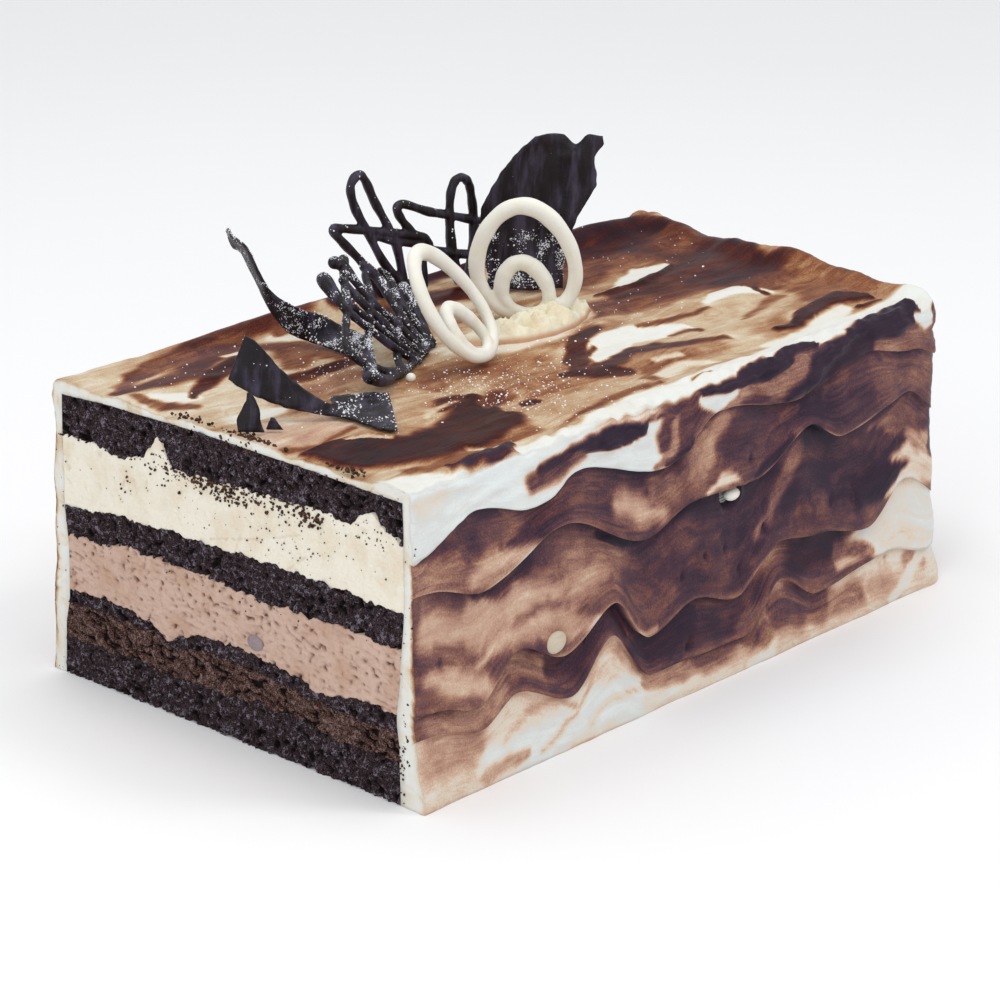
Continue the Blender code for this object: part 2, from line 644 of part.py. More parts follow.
CHIP_STAND = Stand((-105.8, -6.9, SEAT), VIEW_ACROSS)
CHIP_EDGES = (
    ((-6.4, 0.6, 0), (0, 0.6, 0)), ((-6.8, 3.4, 0.3), (-1, 3.4, 0)), ((-5.8, 5.8, 0.6), (-1.2, 5.8, 0)),
    ((-4.7, 8.2, 0.7), (-2.1, 8.2, 0)), ((-4.1, 10.4, 0.8), (-3.5, 10.4, 0)),
)
SMALL_CHIP_STAND = Stand((-103.2, -6.4, SEAT), VIEW_ACROSS)
SMALL_CHIP_EDGES = (
    ((-1.2, 0.6, 0), (3, 0.6, 0)), ((-0.6, 2.2, 0.2), (1.8, 2.2, 0)), ((0, 3.6, 0.4), (0.7, 3.6, 0)),
)


def make_shards(looks):
    """The thin shards: tall, curled, fanned, and two small chips at the cut edge."""
    make_tall_shard(looks["dark"])
    add_leaf("shard_curl", edge_rows(CURL_STAND, CURL_EDGES, 3, 0.5), 1.0, looks["dark"])
    add_leaf("shard_fan", edge_rows(FAN_STAND, FAN_EDGES, 3, 0.4), 1.1, looks["dark"])
    add_leaf("shard_chip", edge_rows(CHIP_STAND, CHIP_EDGES, 2), 1.1, looks["dark"])
    add_leaf("shard_chip_small", edge_rows(SMALL_CHIP_STAND, SMALL_CHIP_EDGES, 2), 1.1, looks["dark"])


def make_ornaments(looks):
    """Everything that stands on the icing."""
    make_piped("lattice_back", BACK_LATTICE_STAND, BACK_LATTICE, 1.3, looks["dark"])
    make_piped("lattice_front", FRONT_LATTICE_STAND, FRONT_LATTICE, 1.25, looks["dark"])
    make_loop("loop_upright", *UPRIGHT_LOOP, looks["white"])
    make_loop("loop_leaning", *LEANING_LOOP, looks["white"])
    make_dab(looks["cream"])
    make_shards(looks)


for old_object in list(bpy.data.objects):
    bpy.data.objects.remove(old_object)

LOOKS = {
    "icing": material("icing", (0.36, 0.18, 0.12), 0.38),
    "sponge": material("sponge", (0.035, 0.024, 0.022), 0.85),
    "cream": material("cream", (0.86, 0.80, 0.64), 0.55),
    "mousse": material("mousse", (0.54, 0.36, 0.27), 0.65),
    "truffle": material("truffle", (0.10, 0.055, 0.04), 0.7),
    "dark": material("dark_chocolate", (0.022, 0.014, 0.014), 0.35),
    "white": material("white_chocolate", (0.83, 0.79, 0.62), 0.45),
}
make_coat(LOOKS["icing"])
make_layers(LOOKS)
make_ornaments(LOOKS)
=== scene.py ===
"""Looks of a cut chocolate gateau bar: seven layers in marbled icing, with chocolate ornaments on top."""

from math import cos, exp, pi, radians, sin

import bmesh
import bpy
import numpy as np
from mathutils import Matrix, Vector


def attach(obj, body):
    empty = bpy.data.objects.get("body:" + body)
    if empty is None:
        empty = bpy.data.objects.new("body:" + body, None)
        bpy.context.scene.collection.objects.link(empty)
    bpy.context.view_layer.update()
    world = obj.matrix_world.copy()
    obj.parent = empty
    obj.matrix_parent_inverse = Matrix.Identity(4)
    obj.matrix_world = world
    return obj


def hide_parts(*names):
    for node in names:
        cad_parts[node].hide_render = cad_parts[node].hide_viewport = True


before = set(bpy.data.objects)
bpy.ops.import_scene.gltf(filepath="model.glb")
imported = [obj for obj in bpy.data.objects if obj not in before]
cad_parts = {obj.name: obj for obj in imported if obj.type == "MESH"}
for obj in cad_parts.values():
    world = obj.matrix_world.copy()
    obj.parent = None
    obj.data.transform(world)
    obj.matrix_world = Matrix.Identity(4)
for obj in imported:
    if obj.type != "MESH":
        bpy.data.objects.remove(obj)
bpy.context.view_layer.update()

# The sponge layers. Four sheets of dark chocolate sponge, baked thin and stacked. The knife tore the
# cut face into open crumb, so each sheet is a fine grid with lumps and holes, drawn out to the far end.

MM = 0.001
LENGTH = 220.0
CUT_X = -110.0
CUT_SLANT = 2.6
END_X = 108.5
END_SLANT = 5.0
END_WALL = 5.0
FRONT_TAPER = 3.5
BACK_TAPER = 7.0
ICING_TOP = 79.5
CUT_COLUMNS = 290
CUT_CELL = 0.42
# Half the cake's width, and the share of the width over which crumb dies out beside the icing.
HALF_WIDTH = 58.0
EDGE_FADE = 0.004

# Walls and ceiling of the space inside the icing, as (height, y) and (y, height).
CAVITY_FRONT = ((0, -58.0), (13, -57.4), (22, -56.2), (33, -57.0), (49, -57.8), (67, -57.2), (78, -56.6))
CAVITY_BACK = ((0, 58.4), (13, 58.2), (22, 56.8), (33, 56.8), (49, 58.4), (67, 58.8), (78, 58.8))
CAVITY_CEILING = ((-60, 76.6), (-20, 77.2), (10, 77.4), (38, 76.8), (62, 75.6))

# Height of each layer's upper face across the cut, from the front side to the back.
BASE_TOP = ((-57, 11.0), (-40, 10.4), (-23, 12.3), (0, 11.0), (30, 10.6), (57, 10.4))
TRUFFLE_TOP = ((-57, 18.6), (-43, 18.0), (-23, 19.2), (-12, 20.2), (7, 20.6), (20, 18.2), (27, 20.4),
               (57, 20.2))
THIN_TOP = ((-57, 23.2), (-46, 23.3), (-33, 21.0), (-18, 23.6), (-3, 25.0), (8, 24.2), (17, 22.0),
            (21, 19.6), (26, 22.6), (42, 24.2), (57, 23.4))
MOUSSE_TOP = ((-57, 39.2), (-43, 40.4), (-18, 39.6), (17, 40.5), (37, 40.4), (48, 38.6), (57, 38.3))
MIDDLE_TOP = ((-57, 49.2), (-33, 49.8), (-23, 50.0), (17, 49.0), (37, 48.3), (57, 46.2))
CREAM_TOP = ((-57, 66.6), (-53, 68.4), (-48, 71.4), (-44, 69.6), (-41, 66.8), (-33, 67.8), (-13, 67.0),
             (7, 66.0), (19, 65.6), (21, 68.6), (24, 71.8), (27, 69.0), (29, 65.8), (37, 64.2), (47, 65.2),
             (57, 65.0))
FLOOR = ((-60, 0.0), (60, 0.0))


def ease(t):
    """Smooth step from 0 to 1."""
    t = np.clip(t, 0.0, 1.0)
    return t * t * (3 - 2 * t)


def along(knots, place):
    """Read a curve given as (place, height) knots at an array of places, eased from knot to knot."""
    places, heights = np.array(knots, float).T
    index = np.clip(np.searchsorted(places, place) - 1, 0, len(places) - 2)
    t = ease((place - places[index]) / (places[index + 1] - places[index]))
    return heights[index] + (heights[index + 1] - heights[index]) * t


def wander(points, size, seed=0):
    """Smooth random waves, about -1 to 1, at points in mm. Each use has its own size in mm and seed."""
    place = np.asarray(points, float) / size + 7.31 * seed
    cell = np.floor(place).astype(np.int64)
    part = place - cell
    fade = part ** 3 * (part * (6 * part - 15) + 10)
    total = np.zeros(place.shape[:-1])
    for corner in np.ndindex(2, 2, 2):
        key = (cell + corner) * (73856093, 19349663, 83492791)
        stirred = key[..., 0] ^ key[..., 1] ^ key[..., 2] ^ (seed * 9176263 + 5)
        stirred = (stirred ^ (stirred >> 13)) * 1274126177 & 0x7FFFFFFF
        stirred = (stirred ^ (stirred >> 15)) * 668265263 & 0x7FFFFFFF
        slope = np.stack([(stirred >> shift & 1023) / 511.5 - 1 for shift in (0, 10, 20)], -1)
        total += np.prod(np.where(corner, fade, 1 - fade), -1) * (slope * (part - corner)).sum(-1)
    return 1.5 * total


def flat_points(a, b):
    """Points (a, b, 0), for waves over a face."""
    return np.stack([a, b, 0 * a], -1)


def tapered(front, back, share, side):
    """y between two walls that close in towards the far end."""
    return front + FRONT_TAPER * share + (back - front - (BACK_TAPER + FRONT_TAPER) * share) * side


def add_piece(name, points, faces, finish, values=()):
    """Make a mesh piece from points in mm, with its faces outwards and its painted values on its points."""
    mesh = bpy.data.meshes.new(name)
    mesh.from_pydata((np.asarray(points, float) * MM).tolist(), [], faces)
    for key, array in dict(values).items():
        kind, field = ("FLOAT", "value") if np.ndim(array) == 1 else ("FLOAT_VECTOR", "vector")
        attribute = mesh.attributes.new(key, kind, "POINT")
        attribute.data.foreach_set(field, np.ascontiguousarray(array, np.float32).ravel())
    shape = bmesh.new()
    shape.from_mesh(mesh)
    bmesh.ops.recalc_face_normals(shape, faces=shape.faces)
    shape.to_mesh(mesh)
    shape.free()
    mesh.shade_smooth()
    mesh.materials.append(finish)
    piece = bpy.data.objects.new(name, mesh)
    bpy.context.scene.collection.objects.link(piece)
    return piece


def grid_faces(rows, columns, start=0):
    """Quads of a grid of points numbered row by row."""
    corner = start + np.arange(rows - 1)[:, None] * columns + np.arange(columns - 1)[None, :]
    return np.stack([corner, corner + 1, corner + columns + 1, corner + columns], -1).reshape(-1, 4).tolist()


def grid_outline(rows, columns):
    """Numbers of the points round the edge of such a grid."""
    number = np.arange(rows * columns).reshape(rows, columns)
    return np.concatenate([number[0], number[1:, -1], number[-1, -2::-1], number[-2:0:-1, 0]])


def ring_faces(one, two):
    """Quads between two closed rings of numbered points."""
    return np.stack([one, np.roll(one, -1), np.roll(two, -1), two], -1).tolist()


def share_across(y):
    """How far across the cake: 0 at the front side, 1 at the back."""
    return (y + HALF_WIDTH) / (2 * HALF_WIDTH)


def at_far_end(ring, gap=0.0):
    """A ring of points on the cut, moved to the far end of the space inside the icing."""
    far = ring.copy()
    side = share_across(far[:, 1])
    far[:, 0] = END_X + END_SLANT * side - END_WALL + gap
    far[:, 1] += (1 - END_WALL / LENGTH) * (FRONT_TAPER - (FRONT_TAPER + BACK_TAPER) * side)
    return far


def layer_piece(name, lower, upper, finish, relief):
    """A layer through the cake, with torn edges. relief(y, z) stands out of its cut face."""
    side = np.linspace(0, 1, CUT_COLUMNS + 1)
    across = tapered(CAVITY_FRONT[0][1], CAVITY_BACK[0][1], 0, side)
    low, high = [edge_height(curve, across) for curve in (lower, upper)]
    rows = max(3, round(float(np.max(high - low)) / CUT_CELL))
    z = low + (high - low) * np.linspace(0, 1, rows + 1)[:, None]
    y = along(CAVITY_FRONT, z) + (along(CAVITY_BACK, z) - along(CAVITY_FRONT, z)) * side
    out, hollow = relief(y, z)
    x = CUT_X - CUT_SLANT * side - out * ease(np.minimum(side, 1 - side) / EDGE_FADE)
    face = np.stack([x, y, z], -1).reshape(-1, 3)
    rim = grid_outline(rows + 1, CUT_COLUMNS + 1)
    far = len(face) + np.arange(len(rim))
    faces = grid_faces(rows + 1, CUT_COLUMNS + 1) + ring_faces(rim, far) + [far.tolist()]
    deep = np.concatenate([hollow.ravel(), np.zeros(len(rim))])
    return add_piece(name, np.concatenate([face, at_far_end(face[rim])]), faces, finish, {"hollow": deep})


def edge_height(curve, y):
    """A layer's edge across the cut, torn into small steps. The foot stays on the table."""
    line = flat_points(y, 0 * y + curve[0][1])
    torn = 0.8 * wander(line, 3.1, 3) + 0.6 * wander(line, 1.5, 4) + 0.4 * wander(line, 0.8, 5)
    if curve is FLOOR:
        return np.maximum(0, 1.3 * torn - 0.1)
    if curve is CAVITY_CEILING:
        return along(curve, y) + 0.3 * torn
    return along(curve, y) + torn


def sponge_relief(y, z):
    """Lumps of crumb with holes between them."""
    place = flat_points(y, z)
    out = 0.5 * wander(place, 2.6, 11) + 0.62 * wander(place, 1.5, 12) + 0.5 * wander(place, 0.9, 13)
    holes = ease((wander(place, 2.1, 14) - 0.3) / 0.3) + 0.7 * ease((wander(place, 1.2, 15) - 0.3) / 0.25)
    # The second value darkens the holes and low places with painted shade.
    return out - 1.3 * holes, np.clip(0.5 - out * 0.8 + 0.9 * holes, 0, 1.5)


def put(tree, kind, inputs=(), **settings):
    """Add a shader node, set its options, and fill its inputs with values or with other outputs."""
    node = tree.nodes.new("ShaderNode" + kind)
    for option, value in settings.items():
        setattr(node, option, value)
    for socket, value in dict(inputs).items():
        if isinstance(value, bpy.types.NodeSocket):
            tree.links.new(value, node.inputs[socket])
        else:
            node.inputs[socket].default_value = value
    return node


def maths(tree, operation, a, b=0.0, clamp=False):
    """The output of a Math node."""
    return put(tree, "Math", {0: a, 1: b}, operation=operation, use_clamp=clamp).outputs[0]


def mixed(tree, factor, one, two):
    """A colour between two colours."""
    return put(tree, "Mix", {0: factor, 6: one, 7: two}, data_type="RGBA").outputs[2]


def between(tree, value, low, high, out_low=0.0, out_high=1.0):
    """A value moved from one range to another, and held inside it."""
    settings = {"Value": value, "From Min": low, "From Max": high, "To Min": out_low, "To Max": out_high}
    return put(tree, "MapRange", settings, interpolation_type="SMOOTHSTEP").outputs[0]


def noise(tree, vector, scale, detail=2.0, roughness=0.5):
    """The value of a noise texture, with scale in waves per mm."""
    settings = {"Vector": vector, "Scale": scale / MM, "Detail": detail, "Roughness": roughness}
    return put(tree, "TexNoise", settings).outputs[0]


def ramp(tree, factor, stops):
    """A colour read from (place, colour) stops."""
    node = put(tree, "ValToRGB", {0: factor})
    band = node.color_ramp.elements
    while len(band) < len(stops):
        band.new(0.5)
    for element, (place, colour) in zip(band, stops):
        element.position = place
        element.color = colour
    return node.outputs[0]


def paint(red, green, blue):
    """A colour as eyes see it, 0 to 255, turned into light."""
    return tuple((c / 255) ** 2.2 for c in (red, green, blue)) + (1.0,)


def new_finish(name, roughness, gloss=0.2):
    """A material with its Principled shader, its node tree and the place of each point in the object."""
    finish = bpy.data.materials.new(name)
    finish.use_nodes = True
    tree = finish.node_tree
    shader = tree.nodes["Principled BSDF"]
    shader.inputs["Roughness"].default_value = roughness
    shader.inputs["Specular IOR Level"].default_value = gloss
    place = put(tree, "TexCoord").outputs["Object"]
    return finish, tree, shader, place


def attribute(tree, name, output="Fac"):
    """A value painted on the mesh."""
    return put(tree, "Attribute", attribute_name=name).outputs[output]


def raise_bump(tree, shader, height, depth, strength=1.0):
    """Bump the shader by a height field whose full swing is depth in mm."""
    settings = {"Height": height, "Distance": depth * MM, "Strength": strength}
    bump = put(tree, "Bump", settings)
    tree.links.new(bump.outputs[0], shader.inputs["Normal"])


def new_group(name, inputs, outputs):
    """A shader node group and its two ends. Each input and output is given as (name, kind)."""
    group = bpy.data.node_groups.new(name, "ShaderNodeTree")
    for way, sockets in (("INPUT", inputs), ("OUTPUT", outputs)):
        for socket, kind in sockets:
            group.interface.new_socket(socket, in_out=way, socket_type="NodeSocket" + kind)
    return group, group.nodes.new("NodeGroupInput").outputs, group.nodes.new("NodeGroupOutput").inputs


PAINTED_PLACE = (("Place", "Vector"), ("Hollow", "Float"))
SURFACE = (("Color", "Color"), ("Height", "Float"))


def crumb_group():
    """Colour and height of broken crumb: dark hollows of painted shade, brown body and pale painted
    highlights.
    """
    colours = (("Deep", "Color"), ("Body", "Color"), ("Highlight", "Color"))
    group, given, result = new_group("crumb", PAINTED_PLACE + colours, SURFACE)
    lumps = noise(group, given["Place"], 0.9, 3.0, 0.65)
    fine = noise(group, given["Place"], 3.2, 2.0, 0.6)
    height = maths(group, "ADD", lumps, maths(group, "MULTIPLY", fine, 0.7))
    raised = maths(group, "SUBTRACT", height, maths(group, "MULTIPLY", given["Hollow"], 0.22))
    colour = mixed(group, between(group, fine, 0.4, 0.58), given["Deep"], given["Body"])
    # Raised crumb takes the highlight colour, a painted highlight; hollows take the deep colour, painted
    # shade.
    colour = mixed(group, between(group, raised, 0.77, 1.0), colour, given["Highlight"])
    colour = mixed(group, between(group, given["Hollow"], 0.7, 1.2), colour, given["Deep"])
    group.links.new(colour, result["Color"])
    group.links.new(height, result["Height"])
    return group


def grouped_finish(name, group, colours, roughness, depth):
    """A finish whose colour and relief come from a group that takes these colours."""
    finish, tree, shader, place = new_finish(name, roughness)
    surface = tree.nodes.new("ShaderNodeGroup")
    surface.node_tree = group
    tree.links.new(place, surface.inputs["Place"])
    tree.links.new(attribute(tree, "hollow"), surface.inputs["Hollow"])
    for socket, colour in colours.items():
        surface.inputs[socket].default_value = colour
    tree.links.new(surface.outputs["Color"], shader.inputs["Base Color"])
    raise_bump(tree, shader, surface.outputs["Height"], depth)
    return finish


CRUMB = crumb_group()
CRUMB_DEPTH = 0.8


def crumb_finish(name, deep, body, edge, roughness):
    """A crumbly finish made with the crumb group; edge colours its painted highlight on raised crumb."""
    return grouped_finish(name, CRUMB, {"Deep": deep, "Body": body, "Highlight": edge}, roughness, CRUMB_DEPTH)


# The pale bluish grey is the sponge's painted highlight on raised crumb.
SPONGE = crumb_finish("sponge_crumb", paint(24, 15, 16), paint(70, 54, 58), paint(138, 128, 142), 0.7)
SPONGE_SHEETS = (
    ("sponge_base", FLOOR, BASE_TOP), ("sponge_thin", TRUFFLE_TOP, THIN_TOP),
    ("sponge_middle", MOUSSE_TOP, MIDDLE_TOP), ("sponge_top", CREAM_TOP, CAVITY_CEILING),
)
for node, lower, upper in SPONGE_SHEETS:
    sheet = layer_piece(node + "_crumb", lower, upper, SPONGE, sponge_relief)
    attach(sheet, "root")
    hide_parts(node)

# The truffle layer. A band of dense dark truffle made of cake crumbs and chocolate, pressed on the
# base sponge. The knife opened slanting cracks and pits in it.

CRACK_LEAN = 0.9


def truffle_relief(y, z):
    """Pressed lumps with slanting cracks."""
    place = flat_points(y - CRACK_LEAN * z, 1.3 * z)
    flat = flat_points(y, z)
    crack = 1 - ease((np.abs(wander(place, 3.4, 21)) - 0.04) / 0.14)
    crack *= ease((wander(flat, 7.0, 22) + 0.35) / 0.4)
    pits = ease((wander(flat, 1.3, 23) - 0.42) / 0.2)
    out = 0.25 * wander(flat, 3.0, 24) + 0.22 * wander(flat, 0.9, 25) - 1.1 * crack - 0.8 * pits
    # The second value darkens the cracks and pits with painted shade.
    return out, np.clip(0.25 + 1.2 * crack + 0.9 * pits - 0.4 * wander(flat, 0.9, 25), 0, 1.5)


# The pale pinkish brown is the truffle's painted highlight on raised crumb.
TRUFFLE = crumb_finish("truffle_crumb", paint(24, 13, 12), paint(108, 76, 68), paint(142, 116, 110), 0.7)
truffle = layer_piece("truffle_crumb", BASE_TOP, TRUFFLE_TOP, TRUFFLE, truffle_relief)
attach(truffle, "root")
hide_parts("truffle_layer")

# The mousse layer. Milk chocolate mousse set with air in it. The knife smeared its face and opened
# bubbles, small pits darkened with painted shade, thickest through the middle of the band.

# Height of the middle of the band, and how far from it the bubbles thin out.
MOUSSE_MIDDLE = 33.0
BUBBLE_SPREAD = 5.0


def mousse_relief(y, z):
    """A smeared face with opened bubbles."""
    flat = flat_points(y, z)
    drawn = flat_points(0.35 * y + 0.1 * z, z - 0.12 * y)
    busy = np.exp(-((z - MOUSSE_MIDDLE) / BUBBLE_SPREAD) ** 2) * (0.6 + 0.4 * wander(flat, 12.0, 31))
    bubbles = ease((wander(flat, 1.5, 32) - 0.34 + 0.16 * busy) / 0.25)
    tears = ease((wander(drawn, 1.2, 33) - 0.42) / 0.25) * 0.5
    grain = 0.36 * wander(flat, 1.7, 34) + 0.55 * wander(drawn, 0.95, 35)
    # The second value darkens the bubbles and tears with painted shade.
    return grain - 0.6 * bubbles - 0.4 * tears, np.clip(0.6 * bubbles + 0.4 * tears - 1.1 * grain, 0, 1)


def soft_group():
    """Colour of soft set cream: faint clouds of a second shade, painted shade in hollows, stains in the deep
    colour.
    """
    colours = (("Body", "Color"), ("Cloud", "Color"), ("Deep", "Color"))
    group, given, result = new_group("soft_set", PAINTED_PLACE + colours, SURFACE)
    clouds = noise(group, given["Place"], 0.12, 3.0, 0.6)
    grain = noise(group, given["Place"], 1.6, 3.0, 0.6)
    cloudy = between(group, clouds, 0.4, 0.7, 0.0, 0.7)
    grainy = between(group, grain, 0.5, 0.8, 0.0, 0.5)
    colour = mixed(group, maths(group, "ADD", cloudy, grainy), given["Body"], given["Cloud"])
    colour = mixed(group, between(group, given["Hollow"], 0.1, 1.0), colour, given["Deep"])
    group.links.new(colour, result["Color"])
    group.links.new(grain, result["Height"])
    return group


SOFT_SET = soft_group()


def soft_finish(name, body, cloud, deep, roughness, grain_depth):
    """A soft creamy finish made with the soft set group."""
    colours = {"Body": body, "Cloud": cloud, "Deep": deep}
    return grouped_finish(name, SOFT_SET, colours, roughness, grain_depth)


MOUSSE = soft_finish("mousse_set", paint(210, 180, 163), paint(192, 154, 132), paint(116, 78, 62), 0.65, 0.5)
mousse = layer_piece("mousse_set", THIN_TOP, MOUSSE_TOP, MOUSSE, mousse_relief)
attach(mousse, "root")
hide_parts("mousse_layer")

# The cream layer. Whipped vanilla cream, thick and matt. The knife left it almost smooth, with a few
# torn places near the sides and reddish brown smears of crumb.

# Each smear is a short stretch from one (y, z) on the cut to another.
CREAM_SMEARS = (
    ((-20, 50), (-26, 55)), ((-2, 49), (-4, 54)), ((37, 56), (36, 59)), ((-16, 57), (-24, 60)),
    ((6, 51), (-10, 55)),
)


def near_line(y, z, start, end):
    """Distance of points from a straight stretch."""
    along_line = np.subtract(end, start)
    offset_y, offset_z = y - start[0], z - start[1]
    t = np.clip((offset_y * along_line[0] + offset_z * along_line[1]) / (along_line @ along_line), 0, 1)
    return np.hypot(offset_y - t * along_line[0], offset_z - t * along_line[1])


def cream_relief(y, z):
    """Nearly smooth, with small torn places."""
    flat = flat_points(y, z)
    torn = ease((wander(flat, 2.4, 41) - 0.45) / 0.2) * ease((np.abs(y + 6) - 22) / 20)
    smear = np.zeros_like(y)
    for start, end in CREAM_SMEARS:
        rough = near_line(y, z, start, end) + 0.5 * wander(flat, 1.2, 42)
        smear = np.maximum(smear, 1 - ease((rough - 0.1) / 0.7))
    pores = ease((wander(flat, 0.9, 43) - 0.55) / 0.15)
    out = 0.2 * wander(flat, 4.0, 44) + 0.16 * wander(flat, 1.1, 45) - 0.45 * torn - 0.2 * pores
    # The torn places and pores are darkened with painted shade; the smears are stains of crumb.
    return out, np.clip(0.25 * torn + 0.2 * pores + 0.35 * smear, 0, 1)


CREAM = soft_finish("cream_set", paint(238, 232, 216), paint(226, 210, 184), paint(160, 104, 72), 0.6, 0.3)
cream = layer_piece("cream_set", MIDDLE_TOP, CREAM_TOP, CREAM, cream_relief)
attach(cream, "root")
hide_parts("cream_layer")

# The loose crumbs. The knife dragged bits of sponge over the cream and mousse on the cut face. Each
# is a small rough lump pressed on the face; they lie thickest under the upper sponge.

CRUMB_DRAW = np.random.default_rng(12)
# Each spread: count, mean y, spread of y, mean z, spread of z, smallest and largest radius.
CRUMB_SPREADS = (
    (170, 2.0, 9.0, 64.6, 1.5, 0.15, 0.5), (80, -26, 4.0, 65.4, 1.3, 0.15, 0.5),
    (120, 0, 30, 65.0, 1.6, 0.12, 0.34), (80, 0, 30, 57.0, 4.5, 0.1, 0.24),
    (20, 22, 1.8, 67.0, 2.0, 0.15, 0.4), (30, -22, 10, 57.5, 2.2, 0.12, 0.3),
    (24, -48, 4.0, 66.5, 2.0, 0.12, 0.3), (30, 0, 30, 37.8, 1.0, 0.12, 0.3),
    (9, 35, 1.2, 57.0, 1.8, 0.15, 0.35), (30, -59, 1.0, 30, 18, 0.12, 0.4),
    (20, -59, 0.8, 12, 4, 0.15, 0.45), (16, 59.5, 0.8, 40, 20, 0.12, 0.3),
)
# How far out a crumb may lie, how far it keeps under the upper sponge, and its share sunk in the face.
CRUMB_REACH = 61
CRUMB_CLEARANCE = 0.2
CRUMB_SUNK = 0.25
LOWEST_CRUMB = 1.0
# Crumbs dragged up on the rim: count, mean y, spread of y. How far they lie back from it, and their
# smallest and largest radius.
RIM_CRUMBS = ((110, -7.0, 4.5), (26, 14.0, 3.0), (30, -38.0, 5.0), (24, -16, 20))
RIM_CRUMB_BACK = 1.6
RIM_CRUMB_RADII = (0.2, 0.6)
# Crumbs less far back than this hang on the edge, from this height up.
ON_EDGE = 0.5
EDGE_LOW = 76.5
# A twenty-sided lump, and how unevenly its corners swell.
LUMP_SWELL = 0.35
BALL_POINTS = np.array([
    (0, 0, 1), (0.9, 0, 0.45), (0.28, 0.85, 0.45), (-0.72, 0.53, 0.45), (-0.72, -0.53, 0.45),
    (0.28, -0.85, 0.45), (0.72, 0.53, -0.45), (-0.28, 0.85, -0.45), (-0.9, 0, -0.45),
    (-0.28, -0.85, -0.45), (0.72, -0.53, -0.45), (0, 0, -1),
])
BALL_FACES = ([(0, 1 + step, 1 + (step + 1) % 5) for step in range(5)]
              + [(1 + step, 6 + step, 1 + (step + 1) % 5) for step in range(5)]
              + [(1 + (step + 1) % 5, 6 + step, 6 + (step + 1) % 5) for step in range(5)]
              + [(11, 6 + (step + 1) % 5, 6 + step) for step in range(5)])


def small_lumps(centres, radii, draw):
    """Points and faces of many rough lumps."""
    points, faces = [], []
    for centre, radius in zip(centres, radii):
        start = len(BALL_POINTS) * len(points)
        swell = 1 + draw.uniform(-LUMP_SWELL, LUMP_SWELL, (len(BALL_POINTS), 1))
        points.append(np.asarray(centre) + BALL_POINTS * swell * radius)
        faces += [(a + start, b + start, c + start) for a, b, c in BALL_FACES]
    return np.concatenate(points), faces


def crumbs_on_cut():
    """Centres and radii of the crumbs on the cut face and its rim."""
    centres, radii = [], []
    for count, mean_y, spread_y, mean_z, spread_z, smallest, largest in CRUMB_SPREADS:
        for _ in range(count):
            y = float(np.clip(CRUMB_DRAW.normal(mean_y, spread_y), -CRUMB_REACH, CRUMB_REACH))
            z = float(CRUMB_DRAW.normal(mean_z, spread_z))
            radius = CRUMB_DRAW.uniform(smallest, largest)
            ceiling = float(along(CREAM_TOP, y)) - CRUMB_CLEARANCE
            z = max(min(z, ceiling), LOWEST_CRUMB)
            centres.append((CUT_X - CUT_SLANT * share_across(y) - CRUMB_SUNK * radius, y, z))
            radii.append(radius)
    for count, mean_y, spread_y in RIM_CRUMBS:
        for _ in range(count):
            y = float(CRUMB_DRAW.normal(mean_y, spread_y))
            back = abs(float(CRUMB_DRAW.normal(0, RIM_CRUMB_BACK)))
            radius = CRUMB_DRAW.uniform(*RIM_CRUMB_RADII)
            lift = ICING_TOP + 0.2 if back > ON_EDGE else CRUMB_DRAW.uniform(EDGE_LOW, ICING_TOP)
            centres.append((CUT_X - CUT_SLANT * share_across(y) + back, y, float(lift)))
            radii.append(radius)
    return centres, radii


crumb_points, crumb_faces = small_lumps(*crumbs_on_cut(), CRUMB_DRAW)
# The pale brown is the loose crumbs' painted highlight on raised crumb.
LOOSE_CRUMB = crumb_finish("loose_crumb", paint(44, 26, 20), paint(82, 54, 42), paint(112, 84, 72), 0.8)
crumbs = add_piece("crumbs_on_cut", crumb_points, crumb_faces, LOOSE_CRUMB)
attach(crumbs, "root")

# The icing. Cream and chocolate, swirled together and spread with a palette knife in waves round the
# sides and in strokes along the top. It is one shell: outer skin, cut edge, and the space inside.

COAT_FRONT = ((0, -65.0), (12, -63.4), (27, -62.0), (40, -61.2), (54, -60.6), (66, -60.0), (80, -58.8))
BACK_Y = 61.6
END_WIDTH = 112.0
WAY_ROUND = 2 * LENGTH + END_WIDTH
# Wavy lips that the knife left round the sides, from the top down: distance from the cut, height.
LIPS = (
    ((0, 62), (21, 70.5), (44, 65.7), (61, 70.7), (93, 63.6), (119, 72.6), (150, 68.6), (184, 73.5),
     (205, 70)),
    ((6, 54), (23, 50), (54, 59), (86, 47), (106, 51.5), (133, 51), (156, 60.5), (171, 54), (203, 58.6)),
    ((7, 24), (21, 21), (36, 31.7), (54, 25), (73, 33.6), (88, 20.3), (107, 25), (125, 20.5), (144, 31),
     (160, 29), (184, 24.5), (203, 33.6)),
    ((7, 18), (23, 14.5), (36, 20), (57, 13), (74, 24), (89, 9.5), (130, 8.6), (145, 20), (161, 12),
     (195, 15)),
)
LIP_LEVELS = (69.0, 53.5, 27.0, 14.0)
LIP_SPACING = 18.0
LIP_SWING = 4.2
